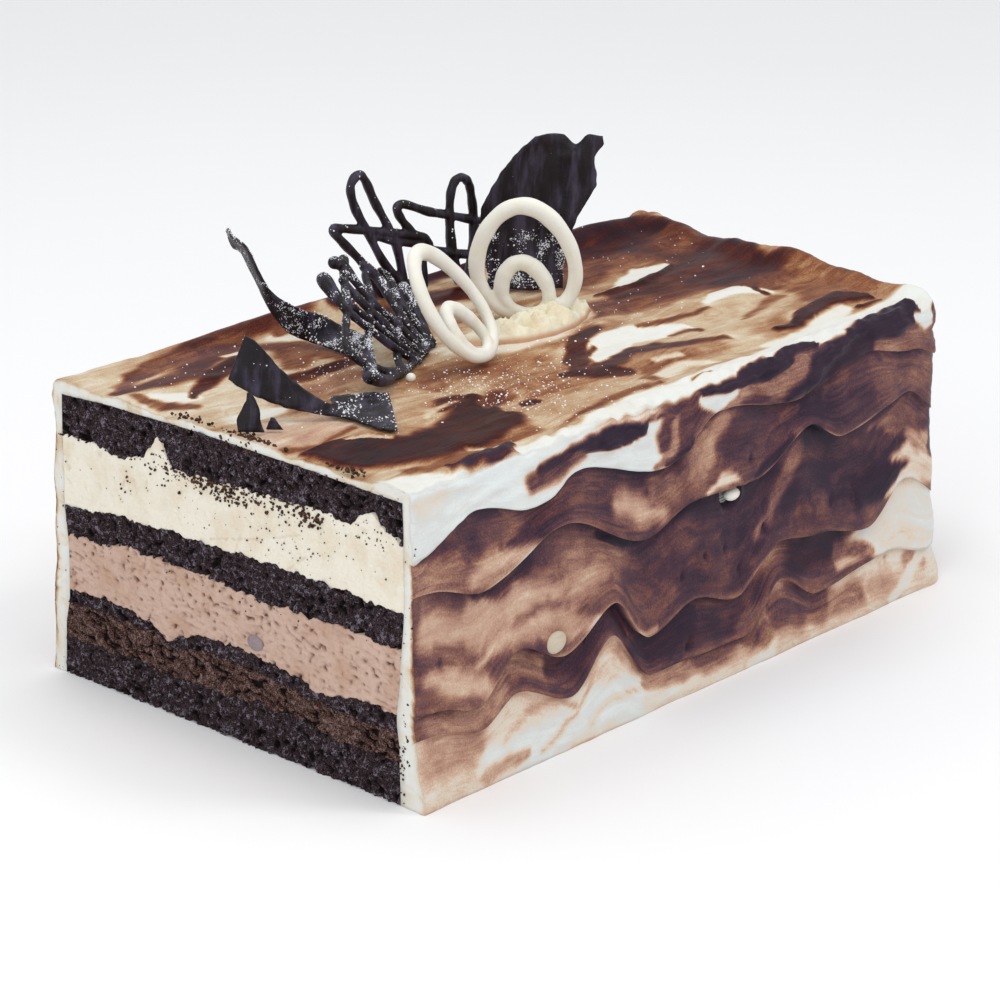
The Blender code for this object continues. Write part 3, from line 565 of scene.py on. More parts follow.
# How strong each lip is along the front: distance from the cut, share of the full depth.
LIP_STRENGTH = (
    ((0, 0.3), (20, 0.5), (44, 0.7), (60, 0.5), (93, 1.0), (107, 0.8), (125, 0.3), (140, 0.8), (160, 0.6),
     (184, 0.3), (206, 0.2), (220, 0.1)),
    ((0, 0.4), (24, 1.1), (54, 1.0), (75, 0.9), (90, 1.2), (110, 0.7), (128, 0.8), (145, 1.1), (156, 1.2),
     (175, 1.1), (192, 1.0), (208, 0.35), (218, 0.1)),
    ((0, 0.5), (22, 0.9), (36, 1.1), (54, 1.1), (73, 1.1), (90, 0.9), (110, 0.7), (125, 0.6), (144, 0.9),
     (160, 0.8), (184, 0.8), (203, 0.45), (212, 0.2), (219, 0.1)),
    ((0, 0.3), (23, 0.35), (57, 0.3), (74, 0.35), (89, 0.3), (130, 0.3), (145, 0.4), (220, 0.3)),
)
FAR_LIP_STRENGTH = 0.12
STROKE_DEPTH = 1.7
FOOT_SWELL = 0.9
# At a lip of full strength, how far the band under it reaches up behind it, and how far the band
# over it hangs down past it.
LIP_LAP = 0.3
LIP_RISE = 0.2
# Bands between the lips, from the foot to the rim, with the rows of points in each.
BAND_ROWS = (15, 14, 22, 16, 15)
RIM_BAND = 4
# How far apart the bands lie in the marbling's own measure, so that each has its own streaks.
BAND_SPAN = 18.0
ICING_ALONG = 266
ICING_ACROSS = 128
RIM_RADIUS = 2.2
CORNER_RADIUS = 8.0
# Cosine of 45 degrees: the rounded rim turns from wall to top there.
COS_45 = 0.7071


def lip_knots(index):
    """The front side's lips, carried on round the far end and the back by a seeded wave."""
    draw = np.random.default_rng(70 + index)
    knots = list(LIPS[index])
    place = knots[-1][0]
    turn = 1
    while place < WAY_ROUND + LIP_SPACING:
        place += LIP_SPACING * draw.uniform(0.8, 1.2)
        knots.append((place, LIP_LEVELS[index] - turn * LIP_SWING * draw.uniform(0.6, 1.1)))
        turn = -turn
    return knots


# How far in from the top's edge its raised rim is highest.
RIM_IN = 4.0


def rim_height(x, y):
    """Raised lumpy rims along the front, the back and the far end of the top."""
    share = (x - CUT_X) / LENGTH
    from_front = y - tapered(COAT_FRONT[-1][1], BACK_Y, share, 0)
    from_back = tapered(COAT_FRONT[-1][1], BACK_Y, share, 1) - y
    from_end = END_X + END_SLANT / 2 - x
    front = 1.5 * (0.75 + 0.25 * np.sin(x / 7.0)) * np.exp(-((from_front - RIM_IN) / 4.5) ** 2)
    back = (4.2 + 0.5 * np.sin(x / 11.0)) * ease((x + 100) / 75) * np.exp(-((from_back - RIM_IN) / 4.5) ** 2)
    end = (3.2 + 1.2 * np.cos((y + 2) / 9.0)) * ease((y + 56) / 14)
    end = end * np.exp(-((from_end - RIM_IN) / 5.5) ** 2)
    return np.maximum(np.maximum(front, back), end)


# Flat places under the ornaments: centre x and y, radius along and across.
SEATS = (
    (-108, -6, 12, 12), (-72, -11, 24, 24), (-42, 12, 26, 24), (3, 6, 36, 18), (32, 32, 18, 18),
    (16, 48, 34, 9),
)
KNIFE_STROKE = 0.45
SEAT = ICING_TOP + 0.3


def top_height(x, y):
    """Height of the icing's top, with knife strokes along the bar and flat seats."""
    cover = 1 - seat_free(x, y)
    place = flat_points(0.3 * x, y)
    stroke = KNIFE_STROKE * (1 + np.sin(y / 3.4 + 1.6 * np.sin(x / 31.0)))
    ripple = 0.4 * wander(place, 5.0, 51) + 0.2 * wander(place, 1.8, 52)
    share = (x - CUT_X) / LENGTH
    near_rim = np.exp(-((y - tapered(COAT_FRONT[-1][1], BACK_Y, share, 0) - 2.0) / 5.0) ** 2)
    ripple += near_rim * 1.4 * wander(flat_points(x, 1.5 * y), 3.8, 53)
    return ICING_TOP + 0.25 * cover + ripple * (1 - 0.6 * cover) + (rim_height(x, y) - stroke) * (1 - cover)


def seat_free(x, y):
    """0 on the flat seats under the ornaments, 1 away from them."""
    free = np.ones_like(x)
    for centre_x, centre_y, radius_x, radius_y in SEATS:
        distance = np.hypot((x - centre_x) / radius_x, (y - centre_y) / radius_y)
        free = np.minimum(free, ease((distance - 0.7) / 0.5))
    return free


def wall_plan(z, step):
    """Plan point and outward direction of the walls at a height, for steps round front, end and back."""
    on_front = step <= ICING_ALONG
    on_back = step >= ICING_ALONG + ICING_ACROSS
    on_end = ~on_front & ~on_back
    share = np.where(on_front, step / ICING_ALONG,
                     np.where(on_back, (2 * ICING_ALONG + ICING_ACROSS - step) / ICING_ALONG, 1.0))
    side = np.where(on_front, 0.0, np.where(on_back, 1.0, (step - ICING_ALONG) / ICING_ACROSS))
    pull = CORNER_RADIUS * (1 - COS_45)
    left, right = CUT_X - CUT_SLANT * side, END_X + END_SLANT * side
    front, back = along(COAT_FRONT, z) + FRONT_TAPER * share, BACK_Y - BACK_TAPER * share
    width = back - front
    x = np.where(on_end, right, left + (right - pull - left) * share)
    y = np.where(on_end, front + pull + (width - 2 * pull) * side, np.where(on_back, back, front))
    to_end = np.clip(1 - (right - x) / CORNER_RADIUS, 0, 1)
    to_side = np.clip(1 - np.minimum(y - front, back - y) / CORNER_RADIUS, 0, 1)
    turn = np.where(on_end, to_side, to_end)
    inset = CORNER_RADIUS * (1 - np.sqrt(1 - turn ** 2))
    facing = np.where(side < 0.5, -1.0, 1.0)
    main, cross = np.sqrt(1 - turn ** 2), turn
    normal_x = np.where(on_end, main, cross)
    normal_y = facing * np.where(on_end, cross, main)
    x = np.where(on_end, x - inset, x)
    y = np.where(on_end, y, y - facing * inset)
    return x, y, normal_x, normal_y, share, side


def mark_cover(u, v, path, soft):
    """How far a knife mark covers each point: 1 inside its path of (u, v, half width), 0 away from it."""
    cover = np.zeros_like(u)
    for (u0, v0, w0), (u1, v1, w1) in zip(path, path[1:]):
        length = max((u1 - u0) ** 2 + (v1 - v0) ** 2, 1e-9)
        t = np.clip(((u - u0) * (u1 - u0) + (v - v0) * (v1 - v0)) / length, 0, 1)
        distance = np.hypot(u - u0 - t * (u1 - u0), v - v0 - t * (v1 - v0))
        width = w0 + (w1 - w0) * t
        fade = np.maximum(soft * (1.2 + 0.45 * width), 1.3)
        cover = np.maximum(cover, ease((width - distance) / fade + 0.5))
    return cover


# Marks on the front side: band (0 at the foot to 4 at the rim), cocoa (0 cream to 1 darkest), how cool
# and grey it is, softness, and a path of (distance from the cut, height, half width).
FRONT_MARKS = (
    (4, 0.02, 0.2, 1.0, ((0, 74, 14), (20, 78, 9), (40, 74, 10), (62, 72, 9), (90, 70, 9))),
    # The next four marks are grey streaks in the white rim's folds: painted shade.
    (4, 0.12, 1.0, 1.0, ((4, 75, 3), (18, 74, 3))),
    (4, 0.055, 1.0, 1.2, ((2, 70, 2.2), (12, 73.4, 2.0), (26, 76.0, 0.9))),
    (4, 0.055, 1.0, 1.2, ((16, 70.4, 0.7), (28, 72.6, 1.0), (38, 73, 0.7))),
    (4, 0.05, 1.0, 1.0, ((66, 71.8, 0.6), (78, 71.4, 0.9), (88, 70.6, 0.7))),
    (4, 0.60, 0.0, 1.2, ((43, 71.5, 2.2), (53, 72.6, 2.6), (64, 74.6, 1.6))),
    (4, 0.78, 0.0, 0.8, ((47, 74.2, 1.6), (60, 75.6, 1.3))),
    (4, 0.88, 1.0, 0.4, ((61, 76.0, 0.9), (71, 76.0, 2.7), (81, 75.3, 2.8), (87, 75.6, 1.2))),
    (4, 0.72, 0.3, 0.4, ((87, 76.4, 0.5), (100, 76.6, 0.7), (112, 77.6, 0.9))),
    (4, 0.66, 0.3, 1.0, ((94, 70, 3.0), (99, 71, 5.5), (108, 71, 6.0))),
    (4, 0.42, 0.0, 0.8, ((91, 64, 1.2), (97, 68, 1.2), (101, 74, 1.2))),
    (4, 0.86, 1.0, 0.4, ((94, 64.4, 0.6), (100, 65.6, 1.4), (107, 67.0, 1.5), (111, 70, 1.0))),
    (4, 0.42, 0.0, 1.0, ((112, 66, 6), (120, 72, 3.0), (131, 75, 2.0))),
    (4, 0.02, 0.0, 0.5, ((111, 76.4, 1.6), (117, 74.6, 2.4), (125, 75.8, 0.9))),
    (4, 0.66, 0.4, 1.0, ((128, 70, 3.0), (140, 70, 4.0), (152, 67, 4.0))),
    (4, 0.48, 0.0, 0.7, ((132, 75.4, 1.2), (144, 73.4, 2.6), (156, 76.2, 2.6))),
    (4, 0.88, 1.0, 0.3, ((112, 78.8, 1.2), (128, 78.6, 2.2), (140, 78.2, 2.2), (150, 79.0, 1.6))),
    (4, 0.88, 1.0, 0.4, ((146, 69.8, 0.8), (155, 71.4, 1.6), (162, 75.4, 3.4), (172, 78, 3.4),
                         (186, 80, 2.6))),
    (4, 0.84, 0.5, 0.8, ((160, 68, 3), (172, 72, 4), (184, 76, 4))),
    (4, 0.87, 1.0, 0.5, ((188, 78, 1.8), (198, 78, 3.4), (207, 77, 2.6))),
    (4, 0.48, 0.0, 1.0, ((190, 72, 3), (199, 70, 3.4), (206, 73, 3.6))),
    (4, 0.56, 0.7, 1.0, ((184, 66, 3), (195, 63, 5), (202, 66, 3))),
    (4, 0.52, 0.1, 1.0, ((210, 70, 5), (216, 66, 5))),
    (4, 0.02, 0.0, 0.5, ((208.5, 78.6, 2.2), (214, 76.6, 3.0))),
    (3, 0.46, 0.0, 1.4, ((0, 58, 9), (12, 58, 8))),
    (3, 0.63, 0.4, 1.4, ((6, 65, 3.4), (17, 66, 4.4), (30, 67, 4))),
    (3, 0.55, 0.0, 1.4, ((28, 62, 4), (42, 64, 4), (48, 61, 4))),
    (3, 0.70, 0.4, 1.2, ((34, 59, 1.6), (47, 61, 3.4), (60, 66, 3.6))),
    (3, 0.25, 0.0, 1.9, ((20, 54, 2.4), (31, 55.4, 3.2), (42, 55.6, 2.0))),
    (3, 0.62, 0.1, 1.2, ((60, 60, 4), (70, 66, 4.6), (80, 66, 4))),
    (3, 0.76, 0.3, 1.2, ((78, 67, 1.6), (90, 62.6, 2.4), (102, 61.6, 2.4))),
    (3, 0.25, 0.0, 1.9, ((77, 58, 3.0), (85, 54, 3.6), (93, 52.2, 2.2))),
    (3, 0.48, 0.2, 1.2, ((92, 57, 3.6), (104, 56.4, 4.6), (110, 55, 3))),
    (3, 0.40, 0.0, 1.2, ((110, 60, 5), (114, 64, 4), (121, 70, 3))),
    (3, 0.68, 0.8, 1.4, ((122, 62, 4), (138, 66, 6), (156, 66, 5))),
    (3, 0.60, 0.0, 1.2, ((128, 57, 3), (136, 59, 3))),
    (3, 0.14, 0.0, 0.9, ((113, 52.4, 1.0), (119, 54, 2.0), (124, 53.2, 1.4))),
    (3, 0.84, 0.9, 0.7, ((133, 51.4, 0.8), (140, 54.8, 1.8), (148, 58.6, 1.6))),
    (3, 0.73, 0.9, 1.4, ((154, 64, 4), (168, 63, 6), (182, 60, 5))),
    (3, 0.66, 0.1, 1.2, ((164, 70, 3), (178, 70, 3.4))),
    (3, 0.58, 0.8, 1.0, ((189, 66, 3), (196, 61, 5), (204, 62, 4))),
    (3, 0.52, 0.2, 1.2, ((208, 62, 4), (215, 64, 5))),
    (2, 0.25, 0.1, 1.6, ((8, 44, 6), (25, 41, 7), (42, 40, 8), (54, 38, 6))),
    (2, 0.46, 0.5, 1.0, ((7, 50.6, 3.2), (18, 48, 3.4))),
    (2, 0.48, 0.1, 1.2, ((9, 38, 1.6), (17, 36, 1.6))),
    (2, 0.25, 0.0, 1.9, ((5, 32, 2.2), (13, 29, 3.8), (24, 25.6, 2.8))),
    (2, 0.78, 0.4, 1.4, ((24, 48.4, 1.4), (32, 47.6, 2.4), (42, 50.4, 2.2), (50, 56, 1.4))),
    (2, 0.93, 1.0, 0.6, ((24, 49.6, 0.6), (30, 50.2, 1.0), (38, 52.2, 0.7))),
    (2, 0.55, 0.1, 1.3, ((48, 54, 3), (58, 54.6, 3.4), (70, 50, 3.4))),
    (2, 0.47, 0.1, 1.4, ((54, 47, 4), (66, 46, 4.4), (82, 43, 4))),
    (2, 0.36, 0.1, 1.4, ((58, 40, 3.4), (72, 41, 3.4))),
    (2, 0.40, 0.1, 0.8, ((30, 35, 0.9), (38, 38, 1.6), (48, 39, 1.4), (58, 36, 0.8))),
    (2, 0.22, 0.0, 1.3, ((22, 31, 0.8), (32, 36, 1.2), (44, 36.6, 1.0), (52, 33.4, 0.8))),
    (2, 0.30, 0.0, 1.2, ((47, 32.6, 2.2), (57, 31, 2.8), (66, 31, 1.6))),
    (2, 0.50, 0.2, 1.3, ((66, 36, 2.4), (76, 38, 3))),
    (2, 0.66, 0.3, 1.6, ((86, 38, 6), (98, 41, 8), (112, 42, 9))),
    (2, 0.84, 0.7, 0.8, ((70, 51.4, 0.8), (80, 47.4, 1.7), (88, 46, 2.0), (98, 48.8, 1.6), (112, 50, 1.6))),
    (2, 0.78, 0.9, 1.8, ((100, 32, 6), (118, 36, 9), (136, 42, 10), (156, 44, 11), (178, 44, 11),
                         (196, 42, 8))),
    (2, 0.70, 0.35, 1.4, ((108, 40, 4), (112, 27, 5), (126, 27, 5))),
    (2, 0.60, 0.2, 1.4, ((84, 27, 3.4), (96, 29, 3.4))),
    (2, 0.40, 0.0, 0.6, ((84, 21.4, 0.8), (90, 21.6, 1.2))),
    (2, 0.66, 0.0, 1.2, ((148, 52.6, 2.2), (166, 52, 2.8), (188, 49, 3.4))),
    (2, 0.50, 0.0, 1.2, ((133, 34.4, 1.2), (140, 38.4, 1.4), (147, 46, 2.6), (156, 53, 2.0))),
    (2, 0.62, 0.5, 1.3, ((152, 36, 4), (162, 36, 4))),
    (2, 0.42, 0.0, 0.8, ((187, 51.2, 0.7), (197, 51.8, 0.9), (202, 55, 1.6))),
    (2, 0.86, 0.9, 1.0, ((182, 35, 4), (193, 35, 4.4), (202, 36, 3.4))),
    (2, 0.50, 0.3, 1.0, ((200, 50, 3), (206, 54, 3), (214, 51, 3))),
    (2, 0.16, 0.0, 1.3, ((197.5, 41, 1.2), (204, 41.4, 2.0), (211, 37.6, 2.2), (216, 31.6, 2.0))),
    (2, 0.34, 0.0, 1.0, ((205, 45.6, 1.8), (213, 42, 2.2))),
    (2, 0.14, 0.0, 1.3, ((194, 31.5, 1.2), (205, 34.5, 3.4), (216, 35, 5.5))),
    (2, 0.74, 0.2, 1.0, ((216.5, 47, 3), (219.6, 38, 2.4))),
    (1, 0.40, 0.2, 1.4, ((6, 20, 3), (20, 18, 3), (31, 22, 3))),
    (1, 0.42, 0.2, 1.4, ((30, 27, 2.4), (40, 27, 3.4), (50, 23, 3.4))),
    (1, 0.76, 0.4, 1.2, ((50, 22, 2.6), (60, 21, 4.4), (68, 28, 4.2), (74, 29.5, 3.2), (79, 23, 2.2))),
    (1, 0.80, 0.5, 1.4, ((82, 18, 2.6), (92, 16, 5), (106, 18, 6), (122, 15, 5))),
    (1, 0.72, 0.7, 1.2, ((112, 21, 2.6), (126, 17, 3.4), (137, 20, 2.4))),
    (1, 0.48, 0.0, 1.0, ((131, 21.6, 1.2), (138, 26, 2.0), (145, 29, 1.8))),
    (1, 0.10, 0.0, 1.2, ((188, 16, 1.6), (200, 15.4, 3.6), (217, 14, 5))),
    (1, 0.32, 0.0, 0.6, ((151, 30.2, 0.7), (156, 28.4, 0.9))),
    (1, 0.66, 0.7, 1.2, ((140, 21, 3), (150, 23, 4))),
    (1, 0.84, 0.6, 1.5, ((154, 24, 5), (165, 24, 5.5), (174, 25, 3))),
    (1, 0.60, 0.5, 0.8, ((163, 28, 1.4), (170, 27, 1.2))),
    (1, 0.09, 0.0, 1.3, ((172, 17, 1.4), (182, 20, 4.0), (192, 23, 6.5), (204, 26, 8), (217, 24, 11))),
    (1, 0.48, 0.4, 1.3, ((172, 20, 2.0), (181, 19, 1.8), (187, 16.6, 1.2))),
    (0, 0.34, 0.3, 1.4, ((6, 12, 5), (16, 11, 6), (22, 12, 4))),
    (0, 0.14, 0.0, 1.4, ((30, 15, 5), (46, 12, 7), (60, 10, 5))),
    (0, 0.04, 0.0, 1.2, ((26, 5, 4), (46, 4, 5), (66, 8, 5), (84, 5, 6))),
    (0, 0.24, 0.0, 0.8, ((30, 9, 0.8), (40, 13, 1.2), (50, 14, 1.0), (60, 10, 0.7))),
    (0, 0.22, 0.0, 0.7, ((44, 2.4, 0.6), (52, 5, 0.9), (60, 8, 0.8), (66, 13, 0.6))),
    (0, 0.20, 0.0, 0.7, ((64, 4, 0.6), (74, 7.6, 0.9), (84, 7, 0.6))),
    (0, 0.32, 0.2, 0.9, ((23, 2.6, 1.6), (32, 3.6, 1.6), (38, 4.4, 0.6))),
    (0, 0.34, 0.0, 1.2, ((56, 15, 1.2), (66, 20, 1.6), (74, 22, 1.8), (83, 14, 1.6), (92, 9, 1.4))),
    (0, 0.38, 0.2, 1.3, ((88, 7.6, 2.2), (102, 6.6, 2.4), (118, 6, 2.6))),
    (0, 0.12, 0.0, 1.2, ((86, 2.4, 2.0), (104, 2.2, 1.6), (126, 1.2, 1.2))),
    (0, 0.60, 0.7, 1.4, ((110, 9, 3), (125, 9, 4), (137, 7, 3.6))),
    (0, 0.10, 0.0, 1.0, ((130, 0.8, 1.2), (140, 1.2, 1.4))),
    (0, 0.62, 0.8, 1.5, ((142, 12, 5), (152, 11, 6.5), (163, 9, 5.5))),
    (0, 0.52, 0.1, 0.9, ((138, 13, 1.4), (138.5, 6, 2.0))),
    (0, 0.12, 0.0, 1.3, ((164, 13.6, 1.6), (175, 15, 2.0), (188, 13.6, 3.0), (204, 12, 4.0), (217, 11, 4))),
    (0, 0.46, 0.5, 1.2, ((170, 6.4, 3.4), (180, 6.6, 3.6))),
    (0, 0.28, 0.2, 1.4, ((187, 6.0, 2.0), (197, 4.6, 2.4))),
    (0, 0.36, 0.1, 1.2, ((205, 9.4, 2.6), (210, 8.4, 2.6))),
    (0, 0.08, 0.0, 0.8, ((196, 1.0, 1.2), (212, 10, 1.6), (217, 12, 3))),
)
# Cocoa of the ground under the marks in each band, and how cool and grey it is.
FRONT_GROUND = (0.18, 0.56, 0.60, 0.62, 0.58)
FRONT_COOLNESS = 0.75

# Marks on the top: cocoa, coolness, softness, and a path of (distance from the cut, distance from the
# front edge, half width).
TOP_MARKS = (
    (0.20, 0.1, 1.6, ((0, 92, 24), (30, 90, 24), (60, 88, 20))),
    # The next mark is the chips' shadow on the top, a greyish olive patch: painted shadow.
    (0.24, 0.6, 1.4, ((0, 50, 9), (14, 50, 9), (24, 47, 7))),
    (0.70, 0.1, 1.2, ((12, 109, 2.4), (40, 112, 4.2), (66, 113, 4.6), (92, 113, 4.6))),
    (0.50, 0.1, 1.4, ((16, 99, 4), (34, 106, 4), (52, 108, 4))),
    (0.44, 0.3, 1.5, ((24, 62, 6), (40, 67, 7), (54, 66, 6))),
    (0.40, 0.0, 1.6, ((60, 46, 10), (78, 52, 9), (90, 44, 10))),
    (0.30, 0.0, 1.6, ((62, 20, 9), (85, 20, 9), (108, 17, 8), (140, 17, 8))),
    (0.44, 0.0, 1.6, ((80, 34, 8), (100, 30, 8), (125, 25, 7), (140, 22, 5))),
    (0.46, 0.0, 1.6, ((112, 54, 7), (135, 57, 7), (160, 57, 6))),
    (0.62, 0.1, 1.6, ((138, 62, 5), (160, 62, 6), (182, 60, 7), (200, 50, 8))),
    (0.56, 0.1, 1.6, ((150, 90, 12), (176, 92, 12), (196, 84, 10))),
    (0.56, 0.1, 1.6, ((200, 34, 12), (212, 28, 12), (214, 45, 10))),
    (0.80, 0.3, 1.4, ((184, 68, 9), (204, 62, 13), (214, 78, 15), (200, 104, 13), (160, 108, 11))),
    (0.80, 0.2, 1.2, ((96, 98, 3.0), (118, 99, 5.0), (140, 94, 5.0), (158, 96, 6.0))),
    (0.62, 0.1, 1.2, ((205, 88, 8), (212, 90, 7))),
    (0.40, 0.1, 1.0, ((217, 60, 4), (220, 62, 4))),
    (0.80, 0.1, 1.2, ((156, 67, 3.4), (172, 66, 4), (188, 70, 5), (198, 72, 5))),
    (0.86, 0.2, 0.7, ((5, 30, 5), (13, 26, 10), (26, 19, 9), (40, 18, 9.5), (52, 23, 10), (60, 33, 5))),
    (0.86, 0.2, 0.7, ((4, 36, 3), (12, 35, 3.4), (22, 30, 4))),
    (0.82, 0.1, 0.7, ((50, 37, 3), (58, 38, 2.6))),
    (0.86, 0.7, 0.5, ((22, 4.6, 2.0), (33, 3.4, 3.4), (42, 5.0, 2.4))),
    (0.54, 0.0, 1.0, ((10, 10, 2.4), (18, 8, 2.2), (28, 9, 2.2), (46, 8, 2.0), (56, 10, 3))),
    (0.16, 0.0, 0.5, ((32.5, 11, 0.9), (34.5, 9.6, 1.1))),
    (0.14, 0.0, 0.4, ((36.4, 6.6, 0.9), (40, 6.2, 0.9))),
    (0.18, 0.3, 0.6, ((16, 35, 1.4), (22, 33, 1.8), (25, 30, 1.4))),
    (0.36, 0.0, 0.9, ((30, 30, 2.6), (42, 37, 4.6), (53, 46, 5.2), (60, 50, 3))),
    (0.52, 0.0, 1.2, ((60, 49, 3.4), (70, 55, 5.2), (81, 53, 4.0))),
    (0.18, 0.0, 0.5, ((42, 34, 0.8), (48, 36, 0.9), (56, 37, 0.6))),
    (0.62, 0.0, 1.0, ((62, 31, 3.2), (69, 33, 3.4))),
    (0.60, 0.0, 0.8, ((66, 8, 0.7), (78, 11, 1.2), (92, 10.6, 1.2), (106, 11.4, 1.0))),
    (0.13, 0.3, 1.5, ((86, 59, 2.4), (100, 55.4, 3.0), (116, 54.6, 3.2), (130, 58, 2.6), (139, 64, 1.6))),
    (0.80, 0.3, 0.7, ((69, 25.4, 1.2), (74, 25, 1.4))),
    (0.80, 0.2, 0.7, ((92, 31.5, 1.6), (103, 28, 4.4), (109, 23.4, 2.6))),
    (0.78, 0.2, 0.8, ((104, 30, 2.6), (112, 29.6, 3.0), (121, 33, 2.8), (131, 30.6, 2.6), (140, 26, 2.0),
                      (148, 22.4, 1.4))),
    (0.56, 0.0, 1.0, ((108, 15, 3.0), (119, 21.6, 3.0), (134, 22, 2.0))),
    (0.18, 0.0, 0.8, ((120, 24, 1.4), (128, 23, 1.4))),
    (0.14, 0.0, 1.0, ((112, 14, 2.4), (124, 17, 2.2), (132, 14, 2.0))),
    (0.24, 0.0, 1.4, ((150, 34, 8), (172, 34, 9), (188, 38, 7))),
    (0.02, 0.1, 0.5, ((107, 33.6, 0.9), (116, 39.4, 5.0), (128, 43, 5.0), (140, 39.6, 4.6),
                      (148, 36.4, 2.6))),
    (0.76, 0.2, 0.6, ((97, 32, 1.2), (103, 37, 3.0), (110, 43.6, 3.0), (118, 49, 2.4), (128, 51, 1.6))),
    (0.66, 0.0, 0.5, ((108, 38.4, 0.9), (113, 41, 1.0), (117, 42.6, 0.6))),
    (0.30, 0.0, 1.0, ((132, 55, 2.4), (148, 51, 2.8), (166, 46.6, 2.6))),
    (0.62, 0.1, 0.5, ((139, 44.6, 0.9), (147, 42.6, 1.2), (156, 43, 1.0), (167, 43.2, 0.8))),
    (0.66, 0.1, 0.5, ((142, 35.4, 0.9), (147, 34.8, 1.5), (150, 32.4, 1.1))),
    (0.02, 0.1, 0.5, ((170, 46.4, 1.6), (178, 48.4, 2.6), (186, 46.8, 3.4), (191.5, 42.6, 2.2))),
    (0.84, 0.2, 0.5, ((189.5, 41, 1.2), (191.6, 45.6, 1.2))),
    (0.50, 0.0, 1.0, ((165, 30, 1.0), (178, 32.6, 1.4), (190, 37.4, 2.2))),
    (0.88, 0.3, 0.6, ((164, 18.6, 0.9), (171, 17, 1.3), (180, 19.6, 2.8), (191, 22.4, 3.2), (200, 22.2, 3.6),
                      (206, 18.6, 2.4))),
    (0.06, 0.0, 0.8, ((152, 12.4, 2.0), (168, 12, 2.6), (184, 15, 2.8), (195, 16.6, 2.2))),
    (0.86, 0.3, 0.5, ((198.6, 13.4, 1.8), (204, 12, 1.9))),
    (0.88, 0.2, 0.5, ((152, 70.6, 0.9), (170, 70.4, 1.3), (189, 75.4, 1.4))),
    (0.05, 0.1, 0.5, ((162, 72, 0.9), (171, 75.4, 2.4), (181, 77.6, 3.2), (190, 77.4, 1.6))),
    (0.64, 0.1, 1.0, ((150, 80, 2.4), (166, 84, 3.0), (182, 90, 3.0))),
    (0.03, 0.1, 0.6, ((4, 92, 2.4), (9, 88, 3.4), (13, 86, 3.0))),
    (0.58, 0.0, 0.9, ((1, 95, 2.0), (3, 86, 2.8), (8, 80.6, 2.0))),
    (0.72, 0.2, 1.1, ((0, 101, 2.0), (12, 98.4, 3.8), (22, 97.6, 3.6), (34, 104.6, 4.6), (48, 104, 3.4))),
    (0.82, 0.1, 0.8, ((13, 86, 1.2), (28, 94, 2.8), (46, 99, 2.6))),
    (0.58, 0.4, 1.2, ((4, 104, 1.8), (20, 109.4, 2.6), (38, 109, 3.0), (54, 101, 3.2), (63, 95, 3.0))),
    (0.08, 0.0, 0.8, ((41, 101.8, 1.6), (47, 101, 1.4))),
    (0.10, 0.0, 0.8, ((61, 104, 2.6), (65, 101, 2.2))),
    (0.60, 0.1, 1.0, ((64, 106, 1.8), (73, 110, 2.4))),
    (0.82, 0.1, 0.8, ((30, 80, 1.4), (39, 78.4, 3.0), (49, 76.4, 3.2), (62, 77, 3.4))),
    (0.56, 0.1, 1.3, ((48, 86, 4), (58, 92, 6), (62, 84, 5))),
    (0.70, 0.1, 0.7, ((40, 75.4, 1.6), (45, 74.6, 1.8))),
    (0.08, 0.3, 0.8, ((10, 66, 3.0), (19, 64, 3.6))),
    (0.56, 0.1, 0.7, ((0, 41.6, 0.9), (12, 40, 1.0), (24, 40.6, 1.0))),
    (0.28, 0.0, 1.4, ((82, 106, 4), (88, 110, 4))),
    (0.84, 0.4, 1.0, ((92, 112, 4), (120, 114, 4), (150, 113, 4), (180, 112, 5))),
    (0.02, 0.0, 0.5, ((0, 3, 7), (14, 0, 5), (22, 0, 1.6))),
    (0.02, 0.0, 0.5, ((44, 1, 3.0), (56, 0, 4.0), (68, 1, 4.6), (82, 2, 6.6), (102, 2, 7), (120, 3, 6),
                      (140, 3, 6), (160, 5, 7), (180, 6, 7), (202, 5, 6.4), (216, 6, 7))),
    (0.56, 0.0, 0.5, ((112, 6.6, 0.6), (120, 6.2, 0.6))),
    (0.88, 1.0, 0.4, ((126, 0, 0.9), (138, 1.6, 1.8), (150, 2.4, 2.4), (159, 0.6, 1.6))),
    (0.87, 1.0, 0.5, ((174, 0.6, 1.2), (188, 3.2, 2.4), (199, 3.0, 3.0), (206, 3.0, 2.6))),
)
TOP_GROUND = 0.32
TOP_COOLNESS = 0.05
# Marks darker than this are thick enough to stand out.
THICK_COCOA = 0.85
THICK_LIFT = 0.9

# Air holes in the front side: distance from the cut, height, radius.
AIR_HOLES = (
    (102.3, 32.3, 0.8), (113, 34.7, 0.8), (121.5, 34, 0.7), (127, 27.5, 0.8), (138, 36, 1.0), (131, 57, 1.0),
    (168, 36, 0.8), (55, 48.3, 0.6), (75, 17.3, 0.5), (105, 12.2, 1.2), (64.5, 25, 0.6), (133, 33, 0.6),
    (101, 45.5, 0.5), (9, 36, 0.7), (195, 12.4, 0.8), (31, 58.6, 0.5), (89, 58.4, 0.5),
)
# The hole that holds the bead of cream: distance from the cut, height, half width, half height.
WHITE_HOLE = (124.5, 48.0, 4.3, 2.9)
# How deep an air hole goes for its radius, and how much cocoa it adds as painted shade.
HOLE_DEPTH = 1.1
AIR_HOLE_SHADE_COCOA = 0.25
# How deep the hole with the bead goes, how far its lip stands out, and its cocoa, painted shade.
WHITE_HOLE_DEPTH = 2.4
WHITE_HOLE_LIP = 0.5
WHITE_HOLE_SHADE_COCOA = 0.86
